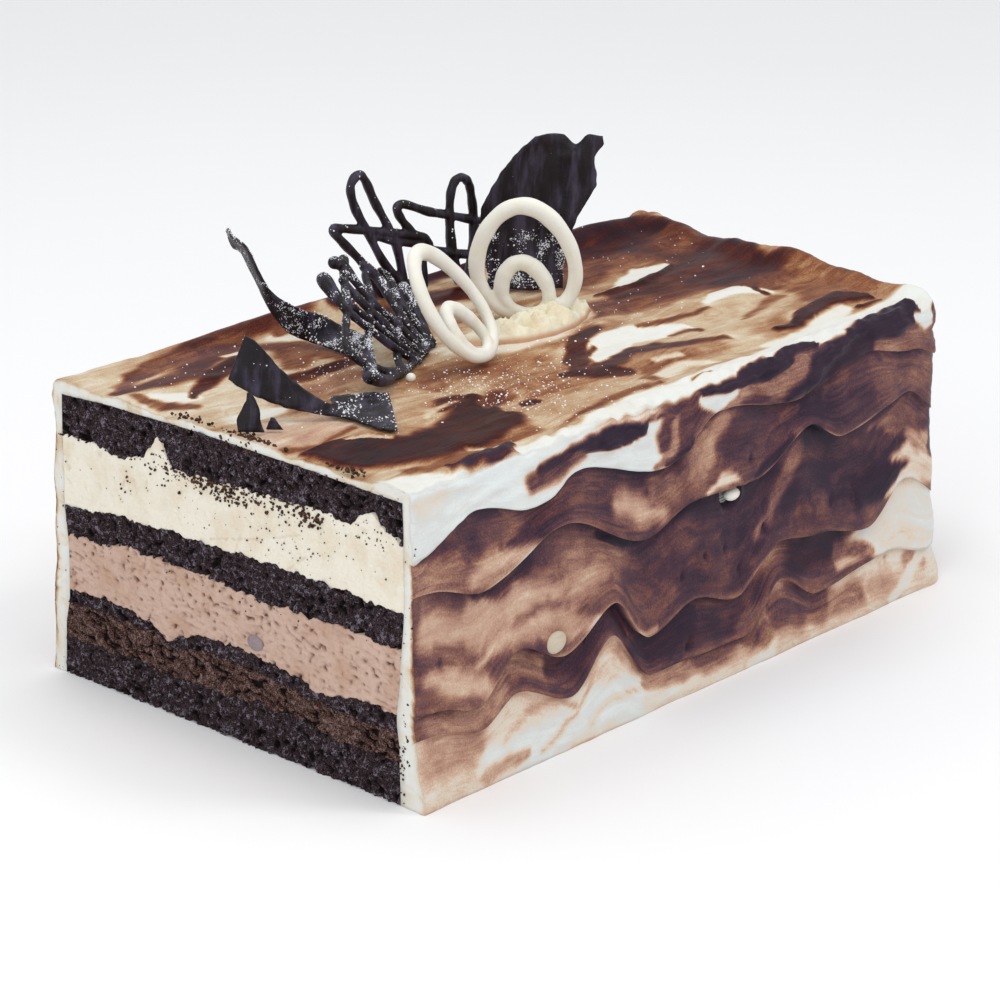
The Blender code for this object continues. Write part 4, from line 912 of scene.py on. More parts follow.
# How much paler a lip is along its crest, a painted highlight, and how much darker and greyer
# the icing under it, painted shade.
CREST_PAINTED_HIGHLIGHT = 0.26
UNDER_LIP_PAINTED_SHADE = 0.24
UNDER_LIP_SHADE_GREYING = 0.5


def painted(u, v, marks, ground, ground_grey):
    """Cocoa, coolness and thickness after laying each knife mark over the ground."""
    cocoa, cool, lift = ground, np.full_like(u, ground_grey), np.zeros_like(u)
    for level, grey, soft, path in marks:
        cover = mark_cover(u, v, path, soft)
        cocoa = cocoa + (level - cocoa) * cover
        cool = cool + (max(grey, ground_grey) - cool) * cover
        lift = lift + ((1.0 if level > THICK_COCOA else 0.0) - lift) * cover
    return cocoa, cool, lift


def wall_rows():
    """The rows of the side walls as (band, share of the band's height), from the foot up."""
    rows = []
    for band, count in enumerate(BAND_ROWS):
        for step in range(count + 1):
            t = step / count
            rows.append((band, 0.6 * t + 0.4 * (0.5 - 0.5 * cos(pi * t))))
    return rows


def air_holes(walk, z, out, cocoa):
    """Sink the air holes into a row of the wall and darken them with painted shade."""
    for hole_u, hole_v, radius in AIR_HOLES:
        near = np.exp(-(((walk - hole_u) ** 2 + (z - hole_v) ** 2) / radius ** 2))
        out = out - HOLE_DEPTH * radius * near
        cocoa = cocoa + AIR_HOLE_SHADE_COCOA * near
    hole_u, hole_v, wide, tall = WHITE_HOLE
    ring = np.hypot((walk - hole_u) / wide, (z - hole_v) / tall)
    inside = 1 - ease((ring - 0.8) / 0.3)
    out = out - WHITE_HOLE_DEPTH * inside + WHITE_HOLE_LIP * np.exp(-((ring - 1.15) / 0.2) ** 2)
    return out, cocoa + (WHITE_HOLE_SHADE_COCOA - cocoa) * inside


def wall_colours(band, t, walk, z, thread, field, strong):
    """Cocoa, coolness and thickness of a wall row; lips get a painted highlight on top, painted shade under.
    """
    loose = 0.4 if band == RIM_BAND else 0.7
    slow = flat_points(walk / 3.0, z)
    warp_u = walk + loose * (2.6 * wander(field, 11.0, 64) + 2.2 * wander(field, 4.6, 65))
    warp_v = z + loose * (0.9 * wander(slow, 3.0, 66) + 1.5 * wander(field, 5.2, 68))
    marks = [mark[1:] for mark in FRONT_MARKS if mark[0] == band]
    around = 0.46 + 0.42 * wander(thread, 7.0, 67) + 0.5 * wander(field, 30.0, 84)
    ground = np.where(walk < LENGTH, FRONT_GROUND[band], np.clip(around, 0.05, 0.9))
    cocoa, cool, lift = painted(warp_u, warp_v, marks, ground, FRONT_COOLNESS)
    broken = np.clip(0.55 + 1.3 * wander(field, 13.0, 78), 0, 1.2)
    # Painted highlight: a thin pale line along each lip's crest. Painted shade: darker, greyer icing under
    # each lip.
    crest = np.exp(-(t / 0.03) ** 2) * strong[band] * (band > 0) * broken
    shade = np.exp(-((1 - t) / 0.13) ** 2) * strong[band + 1] * (band < RIM_BAND)
    return cocoa - CREST_PAINTED_HIGHLIGHT * crest + UNDER_LIP_PAINTED_SHADE * shade, np.clip(cool + UNDER_LIP_SHADE_GREYING * shade, 0, 1), lift


def wall_skin():
    """Points and painted values of the side walls, as arrays of rows by steps round the cake."""
    steps = np.arange(2 * ICING_ALONG + ICING_ACROSS + 1)
    _, _, _, _, share, side = wall_plan(np.full(steps.shape, 40.0), steps)
    walk = np.where(steps <= ICING_ALONG, share * LENGTH,
                    np.where(steps >= ICING_ALONG + ICING_ACROSS, WAY_ROUND - share * LENGTH,
                             LENGTH + END_WIDTH * side))
    at_cut = 0.2 + 0.8 * ease(np.minimum(walk, WAY_ROUND - walk) / 8.0)
    edge_x, edge_y, _, _, _, _ = wall_plan(np.full(steps.shape, ICING_TOP), steps)
    rim_z = top_height(edge_x, edge_y) - RIM_RADIUS * (1 - COS_45)
    edges, strong = [rim_z], [0 * walk]
    for index, knots in enumerate(LIP_STRENGTH):
        edges.insert(0, along(lip_knots(index), walk))
        strong.insert(0, np.where(walk < LENGTH, along(knots, walk), FAR_LIP_STRENGTH) * at_cut)
    edges.insert(0, 0 * walk)
    strong.insert(0, 0 * walk + FOOT_SWELL / STROKE_DEPTH)
    far_wave = 0.4 + 1.1 * ease((walk - LENGTH + 12) / 12)
    points, cocoa, cool, flow = [], [], [], []
    for band, t in wall_rows():
        low, high = edges[band], edges[band + 1]
        lap = LIP_LAP * strong[band + 1] if band < RIM_BAND else 0 * walk
        rise = LIP_RISE * strong[band] if band else 0 * walk
        z = np.maximum(low - rise + (high + lap - low + rise) * t, 0.0)
        swell = ease(np.full_like(walk, t))
        out = STROKE_DEPTH * (strong[band] * (1 - swell) - strong[band + 1] * swell)
        x, y, normal_x, normal_y, _, _ = wall_plan(z, steps)
        b = BAND_SPAN * (band + t) + 0 * walk
        field = flat_points(walk, z)
        thread = flat_points(walk / 14.0 + 0.9 * wander(field, 8.0, 60), b)
        if band == RIM_BAND:
            folds = flat_points(0.5 * walk + z, 1.4 * z - 0.3 * walk)
            out = out + 0.8 * wander(folds, 5.6, 69) + 0.28 * wander(folds, 2.4, 79)
        out = out + 0.16 * wander(thread, 1.9, 61) + far_wave * wander(field, 13.0, 62)
        out = out + 0.1 * wander(thread, 0.8, 63)
        row_cocoa, row_cool, lift = wall_colours(band, t, walk, z, thread, field, strong)
        out, row_cocoa = air_holes(walk, z, out + THICK_LIFT * lift, row_cocoa)
        under_rim = np.clip((z - (rim_z - RIM_RADIUS * COS_45)) / (RIM_RADIUS * 0.99), 0, 1)
        inset = RIM_RADIUS * (1 - np.sqrt(1 - under_rim ** 2 * 0.5))
        shift = out * (1 - ease(under_rim)) - inset
        points.append(np.stack([x + normal_x * shift, y + normal_y * shift, z], -1))
        cocoa.append(row_cocoa)
        cool.append(row_cool)
        flow.append(np.stack([walk, b, 1.2 * wander(field, 12.0, 80)], -1))
    return np.array(points), np.array(cocoa), np.array(cool), np.array(flow)


def top_skin(rim_x, rim_y):
    """Points and painted values of the top between the walls' upper edges."""
    share = np.linspace(0, 1, ICING_ALONG + 1)[:, None]
    side = np.linspace(0, 1, ICING_ACROSS + 1)[None, :]
    front = slice(0, ICING_ALONG + 1)
    end = slice(ICING_ALONG, ICING_ALONG + ICING_ACROSS + 1)
    back = slice(ICING_ALONG + ICING_ACROSS, None)
    plan = []
    for rim in (rim_x, rim_y):
        one, two, far = rim[front][:, None], rim[back][::-1][:, None], rim[end][None, :]
        near = one[0] + (two[0] - one[0]) * side
        corners = ((1 - share) * ((1 - side) * one[0] + side * two[0])
                   + share * ((1 - side) * one[-1] + side * two[-1]))
        plan.append((1 - side) * one + side * two + (1 - share) * near + share * far - corners)
    x, y = plan
    to_front, to_back = y - y[:, :1], y[:, -1:] - y
    to_end = x[-1:, :] - x
    from_edge = np.minimum(np.minimum(to_front, to_back), to_end) + RIM_RADIUS * (1 - COS_45)
    drop = RIM_RADIUS * (1 - np.sqrt(1 - np.clip(1 - from_edge / RIM_RADIUS, 0, 1) ** 2))
    z = top_height(x, y) - drop
    u = x - CUT_X
    v = y - tapered(COAT_FRONT[-1][1], BACK_Y, u / LENGTH, 0)
    field = flat_points(u, v)
    slow = flat_points(u / 2.6, v)
    warp_u = u + 2.6 * wander(field, 13.0, 71) + 1.2 * wander(slow, 3.0, 72)
    warp_v = v + 1.6 * wander(slow, 8.0, 73) + 0.7 * wander(slow, 2.6, 74)
    ground = TOP_GROUND + 0.2 * wander(slow, 8.0, 75) + 0.14 * wander(slow, 3.4, 77)
    cocoa, cool, lift = painted(warp_u, warp_v, TOP_MARKS, ground, TOP_COOLNESS)
    z = z + THICK_LIFT * lift * ease(from_edge / 3.0) * seat_free(x, y)
    flow = np.stack([u, v + 4.0 * wander(field, 26.0, 76) + 60.0, 1.2 * wander(field, 12.0, 80)], -1)
    return np.stack([x, y, z], -1), cocoa, cool, flow


# How far in the rows of the cut edge lie, as shares of its width.
EDGE_SHARES = (0.12, 0.3, 0.62, 1.0)


def cut_edge(wall, top):
    """The icing's own cut edge: rows from the outer outline in to the space inside."""
    outline = np.concatenate([wall[:, 0], top[0, 1:-1], wall[::-1, -1]])
    inner = inner_outline(len(wall), top.shape[1])
    rows = [outline]
    for share in EDGE_SHARES[:-1]:
        line = outline + (inner - outline) * share
        line[:, 0] -= 0.4 * wander(line, 1.6, 81) + 0.2
        line[:, 2] = np.maximum(line[:, 2], 0.0)
        rows.append(line)
    rows.append(inner)
    return rows


def inner_outline(wall_count, top_count):
    """Points of the inner outline on the cut, one for each point of the outer."""
    front_y, back_y = CAVITY_FRONT[-1][1], CAVITY_BACK[-1][1]
    z_front = np.linspace(0.0, float(along(CAVITY_CEILING, front_y)), wall_count)
    front = np.stack([np.full(wall_count, CUT_X), along(CAVITY_FRONT, z_front), z_front], -1)
    side = np.linspace(0, 1, top_count)[1:-1]
    y_top = front[-1, 1] + (back_y - front[-1, 1]) * side
    top = np.stack([CUT_X - CUT_SLANT * side, y_top, along(CAVITY_CEILING, y_top)], -1)
    z_back = np.linspace(float(along(CAVITY_CEILING, back_y)), 0.0, wall_count)
    back = np.stack([np.full(wall_count, CUT_X - CUT_SLANT), along(CAVITY_BACK, z_back), z_back], -1)
    return np.concatenate([front, top, back])


# Gap between the far end of the layers and the icing, and the cocoa of the cut edge.
FAR_GAP = 0.2
EDGE_COCOA = 0.02


def make_icing(finish):
    """Join the walls, the top, the cut edge, the space inside and the foot into one shell."""
    wall, wall_cocoa, wall_cool, wall_flow = wall_skin()
    rows, steps = wall.shape[:2]
    top, top_cocoa, top_cool, top_flow = top_skin(wall[-1, :, 0], wall[-1, :, 1])
    points = [wall.reshape(-1, 3)]
    faces = grid_faces(rows, steps)
    count = rows * steps
    numbers = np.zeros(top.shape[:2], int)
    last = (rows - 1) * steps
    numbers[:, 0] = last + np.arange(ICING_ALONG + 1)
    numbers[-1, :] = last + ICING_ALONG + np.arange(ICING_ACROSS + 1)
    numbers[:, -1] = last + steps - 1 - np.arange(ICING_ALONG + 1)
    inside = np.zeros(top.shape[:2], bool)
    inside[:-1, 1:-1] = True
    numbers[inside] = count + np.arange(inside.sum())
    points.append(top[inside])
    count += inside.sum()
    corner = np.stack([numbers[:-1, :-1], numbers[:-1, 1:], numbers[1:, 1:], numbers[1:, :-1]], -1)
    faces += corner.reshape(-1, 4).tolist()

    edge_rows = cut_edge(wall, top)
    up = np.arange(rows) * steps
    outline = np.concatenate([up, numbers[0, 1:-1], up[::-1] + steps - 1])
    outer_cocoa = np.concatenate([wall_cocoa[:, 0], top_cocoa[0, 1:-1], wall_cocoa[::-1, -1]])
    ring = [outline]
    ring_cocoa = []
    for share, row in zip(EDGE_SHARES, edge_rows[1:]):
        ring.append(count + np.arange(len(row)))
        points.append(row)
        smear = 0.3 * np.clip(wander(row, 7.0, 82), 0, 1) + 0.16 * np.clip(wander(row, 1.6, 83), 0, 1)
        ring_cocoa.append(EDGE_COCOA + smear + (outer_cocoa - EDGE_COCOA) * max(0.0, 1 - share / 0.22))
        count += len(row)
    for one, two in zip(ring, ring[1:]):
        faces += np.stack([one[:-1], one[1:], two[1:], two[:-1]], -1).tolist()

    far = at_far_end(edge_rows[-1], FAR_GAP)
    points.append(far)
    far_numbers = count + np.arange(len(far))
    faces += np.stack([ring[-1][:-1], ring[-1][1:], far_numbers[1:], far_numbers[:-1]], -1).tolist()
    faces.append(far_numbers.tolist())
    foot = [int(n) for n in np.arange(steps)]
    foot += [int(r[-1]) for r in ring[1:]] + [int(far_numbers[-1]), int(far_numbers[0])]
    foot += [int(r[0]) for r in ring[:0:-1]]
    faces.append(foot)

    unpainted = sum(map(len, ring_cocoa)) + len(far)
    cocoa = np.concatenate([wall_cocoa.ravel(), top_cocoa[inside], *ring_cocoa, np.zeros(len(far))])
    cool = np.concatenate([wall_cool.ravel(), top_cool[inside], np.zeros(unpainted)])
    flow = np.concatenate([wall_flow.reshape(-1, 3), top_flow[inside], np.zeros((unpainted, 3))])
    values = {"cocoa": cocoa, "cool": cool, "flow": flow}
    return add_piece("icing", np.concatenate(points), faces, finish, values)


# Shades of the marbling from cream to the darkest chocolate: warm, and cool where it is greyer.
ICING_SHADES = (
    (0.00, paint(226, 228, 223)), (0.10, paint(222, 215, 200)), (0.22, paint(202, 182, 152)),
    (0.36, paint(174, 136, 102)), (0.50, paint(138, 88, 60)), (0.64, paint(98, 54, 40)),
    (0.78, paint(70, 30, 24)), (0.92, paint(46, 21, 20)), (1.00, paint(32, 16, 18)),
)
# The cool shades are the icing's greyer purple tone and also its satin sheen on dark parts, a painted sheen.
COOL_AND_SHEEN_SHADES = (
    (0.00, paint(224, 230, 228)), (0.06, paint(214, 215, 212)), (0.13, paint(222, 208, 190)),
    (0.22, paint(206, 172, 150)), (0.36, paint(174, 133, 115)), (0.50, paint(128, 90, 84)),
    (0.64, paint(88, 63, 71)), (0.78, paint(62, 48, 60)), (0.92, paint(52, 43, 55)),
    (1.00, paint(42, 36, 46)),
)


def icing_finish():
    """Marbled icing: painted cocoa, broken by streaks that follow the knife, in warm or cool shades with
    painted sheen.
    """
    finish, tree, shader, place = new_finish("marbled_icing", 0.4, 0.06)
    flow = attribute(tree, "flow", "Vector")
    wide = put(tree, "VectorMath", {0: flow, 1: (0.032, 0.24, 1.0)}, operation="MULTIPLY").outputs[0]
    thin = put(tree, "VectorMath", {0: flow, 1: (0.06, 1.5, 1.0)}, operation="MULTIPLY").outputs[0]
    streak_look = {"Vector": wide, "Scale": 1.0, "Detail": 3.0, "Distortion": 1.3}
    thread_look = {"Vector": thin, "Scale": 1.0, "Detail": 2.0, "Distortion": 0.3}
    streak = put(tree, "TexNoise", streak_look).outputs[0]
    thread = put(tree, "TexNoise", thread_look).outputs[0]
    cloud = noise(tree, place, 0.07, 4.0, 0.6)
    cocoa = attribute(tree, "cocoa")
    speck = noise(tree, place, 2.4, 2.0, 0.7)
    swings = [maths(tree, "MULTIPLY", maths(tree, "SUBTRACT", value, 0.5), amount)
              for value, amount in ((streak, 0.36), (thread, 0.12), (cloud, 0.40), (speck, 0.3))]
    swing = swings[0]
    for other in swings[1:]:
        swing = maths(tree, "ADD", swing, other)
    room = maths(tree, "MULTIPLY", cocoa, maths(tree, "SUBTRACT", 1.25, cocoa))
    room = maths(tree, "ADD", maths(tree, "MULTIPLY", room, 2.4), 0.2)
    level = maths(tree, "ADD", cocoa, maths(tree, "MULTIPLY", swing, room), clamp=True)
    warm = ramp(tree, level, ICING_SHADES)
    grey = ramp(tree, level, COOL_AND_SHEEN_SHADES)
    greyer = maths(tree, "ADD", attribute(tree, "cool"), maths(tree, "SUBTRACT", streak, 0.5))
    cool = between(tree, greyer, 0.05, 0.9)
    colour = mixed(tree, cool, warm, grey)
    tree.links.new(colour, shader.inputs["Base Color"])
    tree.links.new(between(tree, level, 0.1, 0.95, 0.46, 0.34), shader.inputs["Roughness"])
    fine = noise(tree, place, 1.4, 3.0, 0.6)
    height = maths(tree, "ADD", maths(tree, "MULTIPLY", thread, 0.45), maths(tree, "MULTIPLY", fine, 0.3))
    raise_bump(tree, shader, height, 0.35, 0.6)
    return finish


icing = make_icing(icing_finish())
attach(icing, "root")
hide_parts("icing_coat")

# The beads. One bead of cream sits in a round hole in the front side, where a bubble burst while the
# icing was soft. A flat one was pressed in by the palette knife, a small one lies by the foot of the
# front lattice, and a grey one was cut flat with the mousse.


def ball(centre, radii):
    """Points and faces of an egg-shaped ball."""
    rings, around = 14, 20
    x, y, z = centre
    points = [(x, y, z - radii[2])]
    for ring in range(1, rings):
        turn = pi * ring / rings
        for step in range(around):
            angle = 2 * pi * step / around
            points.append((x + radii[0] * sin(turn) * cos(angle), y + radii[1] * sin(turn) * sin(angle),
                           z - radii[2] * cos(turn)))
    points.append((x, y, z + radii[2]))
    faces = [(0, 1 + step, 1 + (step + 1) % around) for step in range(around)]
    for ring in range(rings - 2):
        start = 1 + ring * around
        for step in range(around):
            after = (step + 1) % around
            faces.append((start + step, start + after, start + around + after, start + around + step))
    start = 1 + (rings - 2) * around
    faces += [(start + (step + 1) % around, start + step, len(points) - 1) for step in range(around)]
    return points, faces


BEAD_CREAM = soft_finish("bead_cream", paint(240, 238, 228), paint(226, 220, 204), paint(150, 120, 100),
                         0.45, 0.1)
BEAD_SMEARED = soft_finish("bead_smeared", paint(206, 194, 172), paint(186, 164, 138), paint(150, 120, 100),
                           0.45, 0.3)
BEAD_GREY = soft_finish("bead_grey", paint(158, 142, 144), paint(104, 88, 96), paint(104, 86, 96), 0.6, 0.6)


def on_front(u, z, inward):
    """A spot on the front side of the icing, moved in from its face."""
    return CUT_X + u, float(along(COAT_FRONT, z)) + FRONT_TAPER * u / LENGTH + inward, z


# Each bead: name, centre, radii, finish and material slot.
BEADS = (
    ("bead_in_hole", on_front(123.3, 48.0, 1.0), (2.7, 1.6, 1.7), BEAD_CREAM, "cream"),
    ("bead_flat", on_front(49.6, 29.2, -1.5), (3.6, 1.2, 2.9), BEAD_SMEARED, "cream"),
    ("bead_by_lattice", (-50.0, -2.6, 80.7), (1.25, 1.25, 1.15), BEAD_CREAM, "cream"),
    ("bead_in_mousse", (-111.25, -9.5, 27.9), (0.4, 2.75, 2.1), BEAD_GREY, "mousse"),
)
for name, centre, radii, bead_finish, slot in BEADS:
    bead = add_piece(name, *ball(centre, radii), bead_finish)
    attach(bead, "root")

# The icing sugar. A pinch was sieved over the ornaments and fell round their feet. Each visible
# grain is a small rough lump on the icing, thickest in front of the lattice.

SUGAR_DRAW = np.random.default_rng(31)
# Each spread: count, distance from the cut, its spread, distance from the front edge, its spread.
SUGAR_SPREADS = (
    (330, 70, 10, 36, 11), (150, 84, 16, 30, 12), (110, 108, 20, 52, 14), (70, 40, 14, 26, 10),
    (60, 150, 22, 70, 18), (90, 52, 7, 74, 5), (40, 30, 20, 100, 8), (40, 190, 14, 90, 18),
)


# The part of the top that grains lie on: distances from the cut and from the front edge.
SUGARED_LENGTH = (2, 214)
SUGARED_WIDTH = (4, 112)
GRAIN_RADII = (0.12, 0.17, 0.24, 0.34)
GRAIN_SHARES = (0.4, 0.32, 0.2, 0.08)


def sugar_grains():
    """Centres and radii of the grains that lie on the icing."""
    centres, radii = [], []
    for count, mean_u, spread_u, mean_v, spread_v in SUGAR_SPREADS:
        u = SUGAR_DRAW.normal(mean_u, spread_u, count)
        v = SUGAR_DRAW.normal(mean_v, spread_v, count)
        keep = (u > SUGARED_LENGTH[0]) & (u < SUGARED_LENGTH[1])
        keep &= (v > SUGARED_WIDTH[0]) & (v < SUGARED_WIDTH[1])
        x = CUT_X + u[keep]
        y = v[keep] + tapered(COAT_FRONT[-1][1], BACK_Y, u[keep] / LENGTH, 0)
        z = top_height(x, y)
        for spot in zip(x, y, z):
            centres.append(spot)
            radii.append(SUGAR_DRAW.choice(GRAIN_RADII, p=GRAIN_SHARES))
    return centres, radii


SUGAR = soft_finish("sugar_grain", paint(250, 250, 252), paint(238, 240, 246), paint(220, 220, 226),
                    0.6, 0.05)
sugar_points, sugar_faces = small_lumps(*sugar_grains(), SUGAR_DRAW)
sugar = add_piece("sugar_grains", sugar_points, sugar_faces, SUGAR)
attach(sugar, "root")

# The cream dab. A short ridge of piped cream on the icing that the white chocolate loops were pushed
# into. It is lumpy, with soft folds across it.

# Points along the ridge: x, y, half width, height.
DAB_SPINE = ((-19, 8.0, 1.5, 0.6), (-14, 7.2, 5.0, 3.2), (-6, 4.8, 6.6, 4.8), (3, 3.8, 7.0, 5.4),
             (12, 4.4, 6.8, 5.6), (20, 6.6, 6.0, 5.0), (27, 9.4, 4.8, 4.0), (32, 11.6, 1.5, 0.8))
DAB_ALONG = 110
DAB_ACROSS = 46
DAB_HIGHEST = 6.4


def dab_piece(finish):
    """The dab as a domed ridge with a flat foot."""
    spine = np.array(DAB_SPINE)
    knots = np.arange(len(spine))
    place = np.linspace(0, len(spine) - 1, DAB_ALONG + 1)
    x, y = [np.interp(place, knots, spine[:, column])[:, None] for column in (0, 1)]
    half, height = [along(np.stack([knots, spine[:, column]], -1), place)[:, None] for column in (2, 3)]
    across = np.sin(np.linspace(-1, 1, DAB_ACROSS + 1) * pi / 2)
    px = x - 0.33 * half * across
    py = y + 0.94 * half * across
    field = flat_points(px, py)
    arch = height * np.sqrt(np.clip(1 - across ** 2, 0, 1))
    folds = np.abs(wander(field, 5.4, 91)) + 0.5 * np.abs(wander(field, 2.6, 92))
    lumps = 1.2 - 1.0 * folds + 0.1 * wander(field, 1.3, 93)
    pz = SEAT - 0.2 + np.clip(arch * lumps, 0, DAB_HIGHEST)
    top = np.stack([px, py, pz], -1).reshape(-1, 3)
    rim = grid_outline(DAB_ALONG + 1, DAB_ACROSS + 1)
    foot = top[rim]
    foot[:, 2] = SEAT - 0.5
    foot_numbers = len(top) + np.arange(len(rim))
    faces = grid_faces(DAB_ALONG + 1, DAB_ACROSS + 1) + ring_faces(rim, foot_numbers)
    faces.append(foot_numbers.tolist())
    points = np.concatenate([top, foot])
    # The dab takes its deep colour towards the foot: darker and peachier low down.
    low = 1 - ease((points[:, 2] - SEAT) / 2.6)
    return add_piece("dab_of_cream", points, faces, finish, {"hollow": low})


DAB_CREAM = soft_finish("dab_cream", paint(232, 226, 200), paint(226, 204, 172), paint(200, 154, 122),
                        0.5, 0.2)
dab = dab_piece(DAB_CREAM)
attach(dab, "root")
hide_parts("cream_dab")

# The white chocolate loops. Each is a small egg-shaped loop piped inside a large one on paper, set
# hard, peeled off and pushed into the dab. Where the strands meet they run together.


class Stand:
    """A plane that an ornament was made in: across and rise are its two directions, back its third."""

    def __init__(self, foot, across, rise=(0, 0, 1)):
        self.foot = Vector(foot)
        self.across = Vector(across).normalized()
        rise = Vector(rise)
        self.rise = (rise - self.across * rise.dot(self.across)).normalized()
        self.back = self.rise.cross(self.across)

    def at(self, a, b, depth=0.0):
        """The point a along, b up and depth behind."""
        return self.foot + self.across * a + self.rise * b + self.back * depth


VIEW_ACROSS = (0.669, -0.744, 0)
# Each loop: its stand, height, lean to one side and strand radius.
UPRIGHT_LOOP = (Stand((11.2, 11.9, SEAT + 0.8), VIEW_ACROSS), 30.4, -2.4, 2.15)
LEANING_STAND = Stand((-25.7, -6.3, SEAT + 2.4), (0.938, 0.347, 0), (-0.183, 0.496, 0.849))
LEANING_LOOP = (LEANING_STAND, 31.5, -7.0, 1.95)


def strand(points, radii, plane_normal, sides, closed=False, flatness=1.0):
    """Points and faces of a piped strand, with rounded ends."""
    flat = Vector(plane_normal).normalized()
    points = list(points)
    radii = list(radii)
    if not closed:
        points, radii = rounded_ends(points, radii)
    count = len(points)
    rings = []
    for index, point in enumerate(points):
        before = points[(index - 1) % count] if closed or index else point
        after = points[(index + 1) % count] if closed or index < count - 1 else point
        heading = (after - before).normalized()
        outward = heading.cross(flat).normalized()
        lift = outward.cross(heading).normalized()
        for corner in range(sides):
            angle = 2 * pi * corner / sides
            spoke = outward * cos(angle) + lift * (sin(angle) * flatness)
            rings.append(tuple(point + radii[index] * spoke))
    faces = []
    for index in range(count if closed else count - 1):
        a, b = index * sides, (index + 1) % count * sides
        faces += [(a + c, a + (c + 1) % sides, b + (c + 1) % sides, b + c) for c in range(sides)]
    if not closed:
        faces.append(tuple(range(sides)))
        faces.append(tuple(range((count - 1) * sides, count * sides)))
    return rings, faces


def rounded_ends(points, radii):
    """Close a strand's ends with a few shrinking rings."""
    start = (points[0] - points[1]).normalized()
    end = (points[-1] - points[-2]).normalized()
    angles = (0.35, 0.75, 1.15, 1.5)
    head = [points[0] + start * (radii[0] * sin(angle)) for angle in reversed(angles)]
    tail = [points[-1] + end * (radii[-1] * sin(angle)) for angle in angles]
    head_radii = [radii[0] * cos(angle) for angle in reversed(angles)]
    tail_radii = [radii[-1] * cos(angle) for angle in angles]
    return head + points + tail, head_radii + radii + tail_radii


# Cell size in mm of the skin round fused strands.
LOOP_GRAIN = 0.38
LATTICE_GRAIN = 0.28


def fused(name, strands, finish, grain):
    """Join strands into one skin that runs together where they touch."""
    points, faces = [], []
    for ring_points, ring_faces in strands:
        start = len(points)
        points += ring_points
        faces += [tuple(n + start for n in face) for face in ring_faces]
    piece = add_piece(name, points, faces, finish)
    remesh = piece.modifiers.new("fuse", "REMESH")
    remesh.mode = "VOXEL"
    remesh.voxel_size = grain * MM
    smooth = piece.modifiers.new("soften", "SMOOTH")
    smooth.iterations = 4
    smooth.factor = 0.5
    graph = bpy.context.evaluated_depsgraph_get()
    joined = bpy.data.meshes.new_from_object(piece.evaluated_get(graph))
    piece.modifiers.clear()
    piece.data = joined
    piece.data.shade_smooth()
    return piece


# Widths of the large and the small loop, and the small one's share of the height.
LOOP_WIDTHS = (26.0, 12.4)
SMALL_SHARE = 0.47
LOOP_STEPS = 90
LOOP_SIDES = 18
LOOP_FLATNESS = 0.86


def loop_strands(stand, tall, lean, radius):
    """The two closed strands of a white loop."""
    strands = []
    for index, (width, height) in enumerate(zip(LOOP_WIDTHS, (tall, SMALL_SHARE * tall))):
        line, radii = [], []
        for step in range(LOOP_STEPS):
            turn = 2 * pi * step / LOOP_STEPS
            b = height / 2 * (1 - cos(turn))
            a = width / 2 * sin(turn) * (1 + 0.16 * cos(turn)) + lean * b / height
            line.append(stand.at(a, b + index * 0.6))
            uneven = 0.12 * sin(3 * turn + index) + 0.06 * sin(11 * turn)
            radii.append(radius - 0.1 * index - 0.25 * cos(turn) + uneven)
        strands.append(strand(line, radii, stand.back, LOOP_SIDES, True, LOOP_FLATNESS))
    return strands


WHITE_CHOCOLATE = soft_finish("white_chocolate", paint(238, 236, 226), paint(232, 227, 208),
                              paint(200, 190, 140), 0.42, 0.1)
for name, node, loop in (("white_loop_upright", "loop_upright", UPRIGHT_LOOP),
                         ("white_loop_leaning", "loop_leaning", LEANING_LOOP)):
    white_loop = fused(name, loop_strands(*loop), WHITE_CHOCOLATE, LOOP_GRAIN)
    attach(white_loop, "root")
    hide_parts(node)

# The dark chocolate lattices. Strands of dark chocolate piped across each other on paper and peeled
# off when hard. The front one leans back on its foot and caught most of the icing sugar.

BACK_LATTICE_STAND = Stand((22, 46, ICING_TOP), (0.985, -0.17, 0))
# Each strand: points across and up in its stand, and how thick the blobs at its start and end are.
BACK_LATTICE = (
    (((-18, 2), (-26, 9.5), (-33, 20.8), (-37, 27.8), (-38.4, 33.5), (-36, 36.4), (-33.6, 34.5),
      (-30.5, 28.4), (-26.2, 21.3), (-22.6, 14.4), (-19.5, 2)), 0, 0),
    (((-27, 2), (-33.7, 11.3), (-40.3, 18.1), (-44, 22.4), (-40.7, 22.3), (-29.2, 19.8), (-18.4, 17.2),
      (-13.4, 15.6), (-11.6, 13), (-13.5, 10.5), (-13, 2)), 0, 0),
    (((-12.4, 12.4), (-4.5, 9.9), (3.8, 8.0)), 0, 0),
    (((-30, 18.6), (-21.4, 15.6), (-14, 14)), 0, 0),
    (((-16.5, 16.8), (-20.4, 21.1), (-22.4, 24.6), (-20.6, 26), (-11.9, 22.6), (-6, 20.9), (3.9, 17.8),
      (10, 15.4)), 0, 0),
    (((-0.8, 1), (-3.3, 10.7), (-4.3, 19), (-4.2, 26.4), (-2.6, 30), (-0.2, 30.4), (1.8, 28.6), (2.9, 25),
      (4, 17.7), (3.9, 9.2), (2.8, 1)), 0.3, 0.3),
)
FRONT_LATTICE_STAND = Stand((-36, 5.5, ICING_TOP), (0.871, 0.491, 0), (-0.349, 0.62, 0.702))
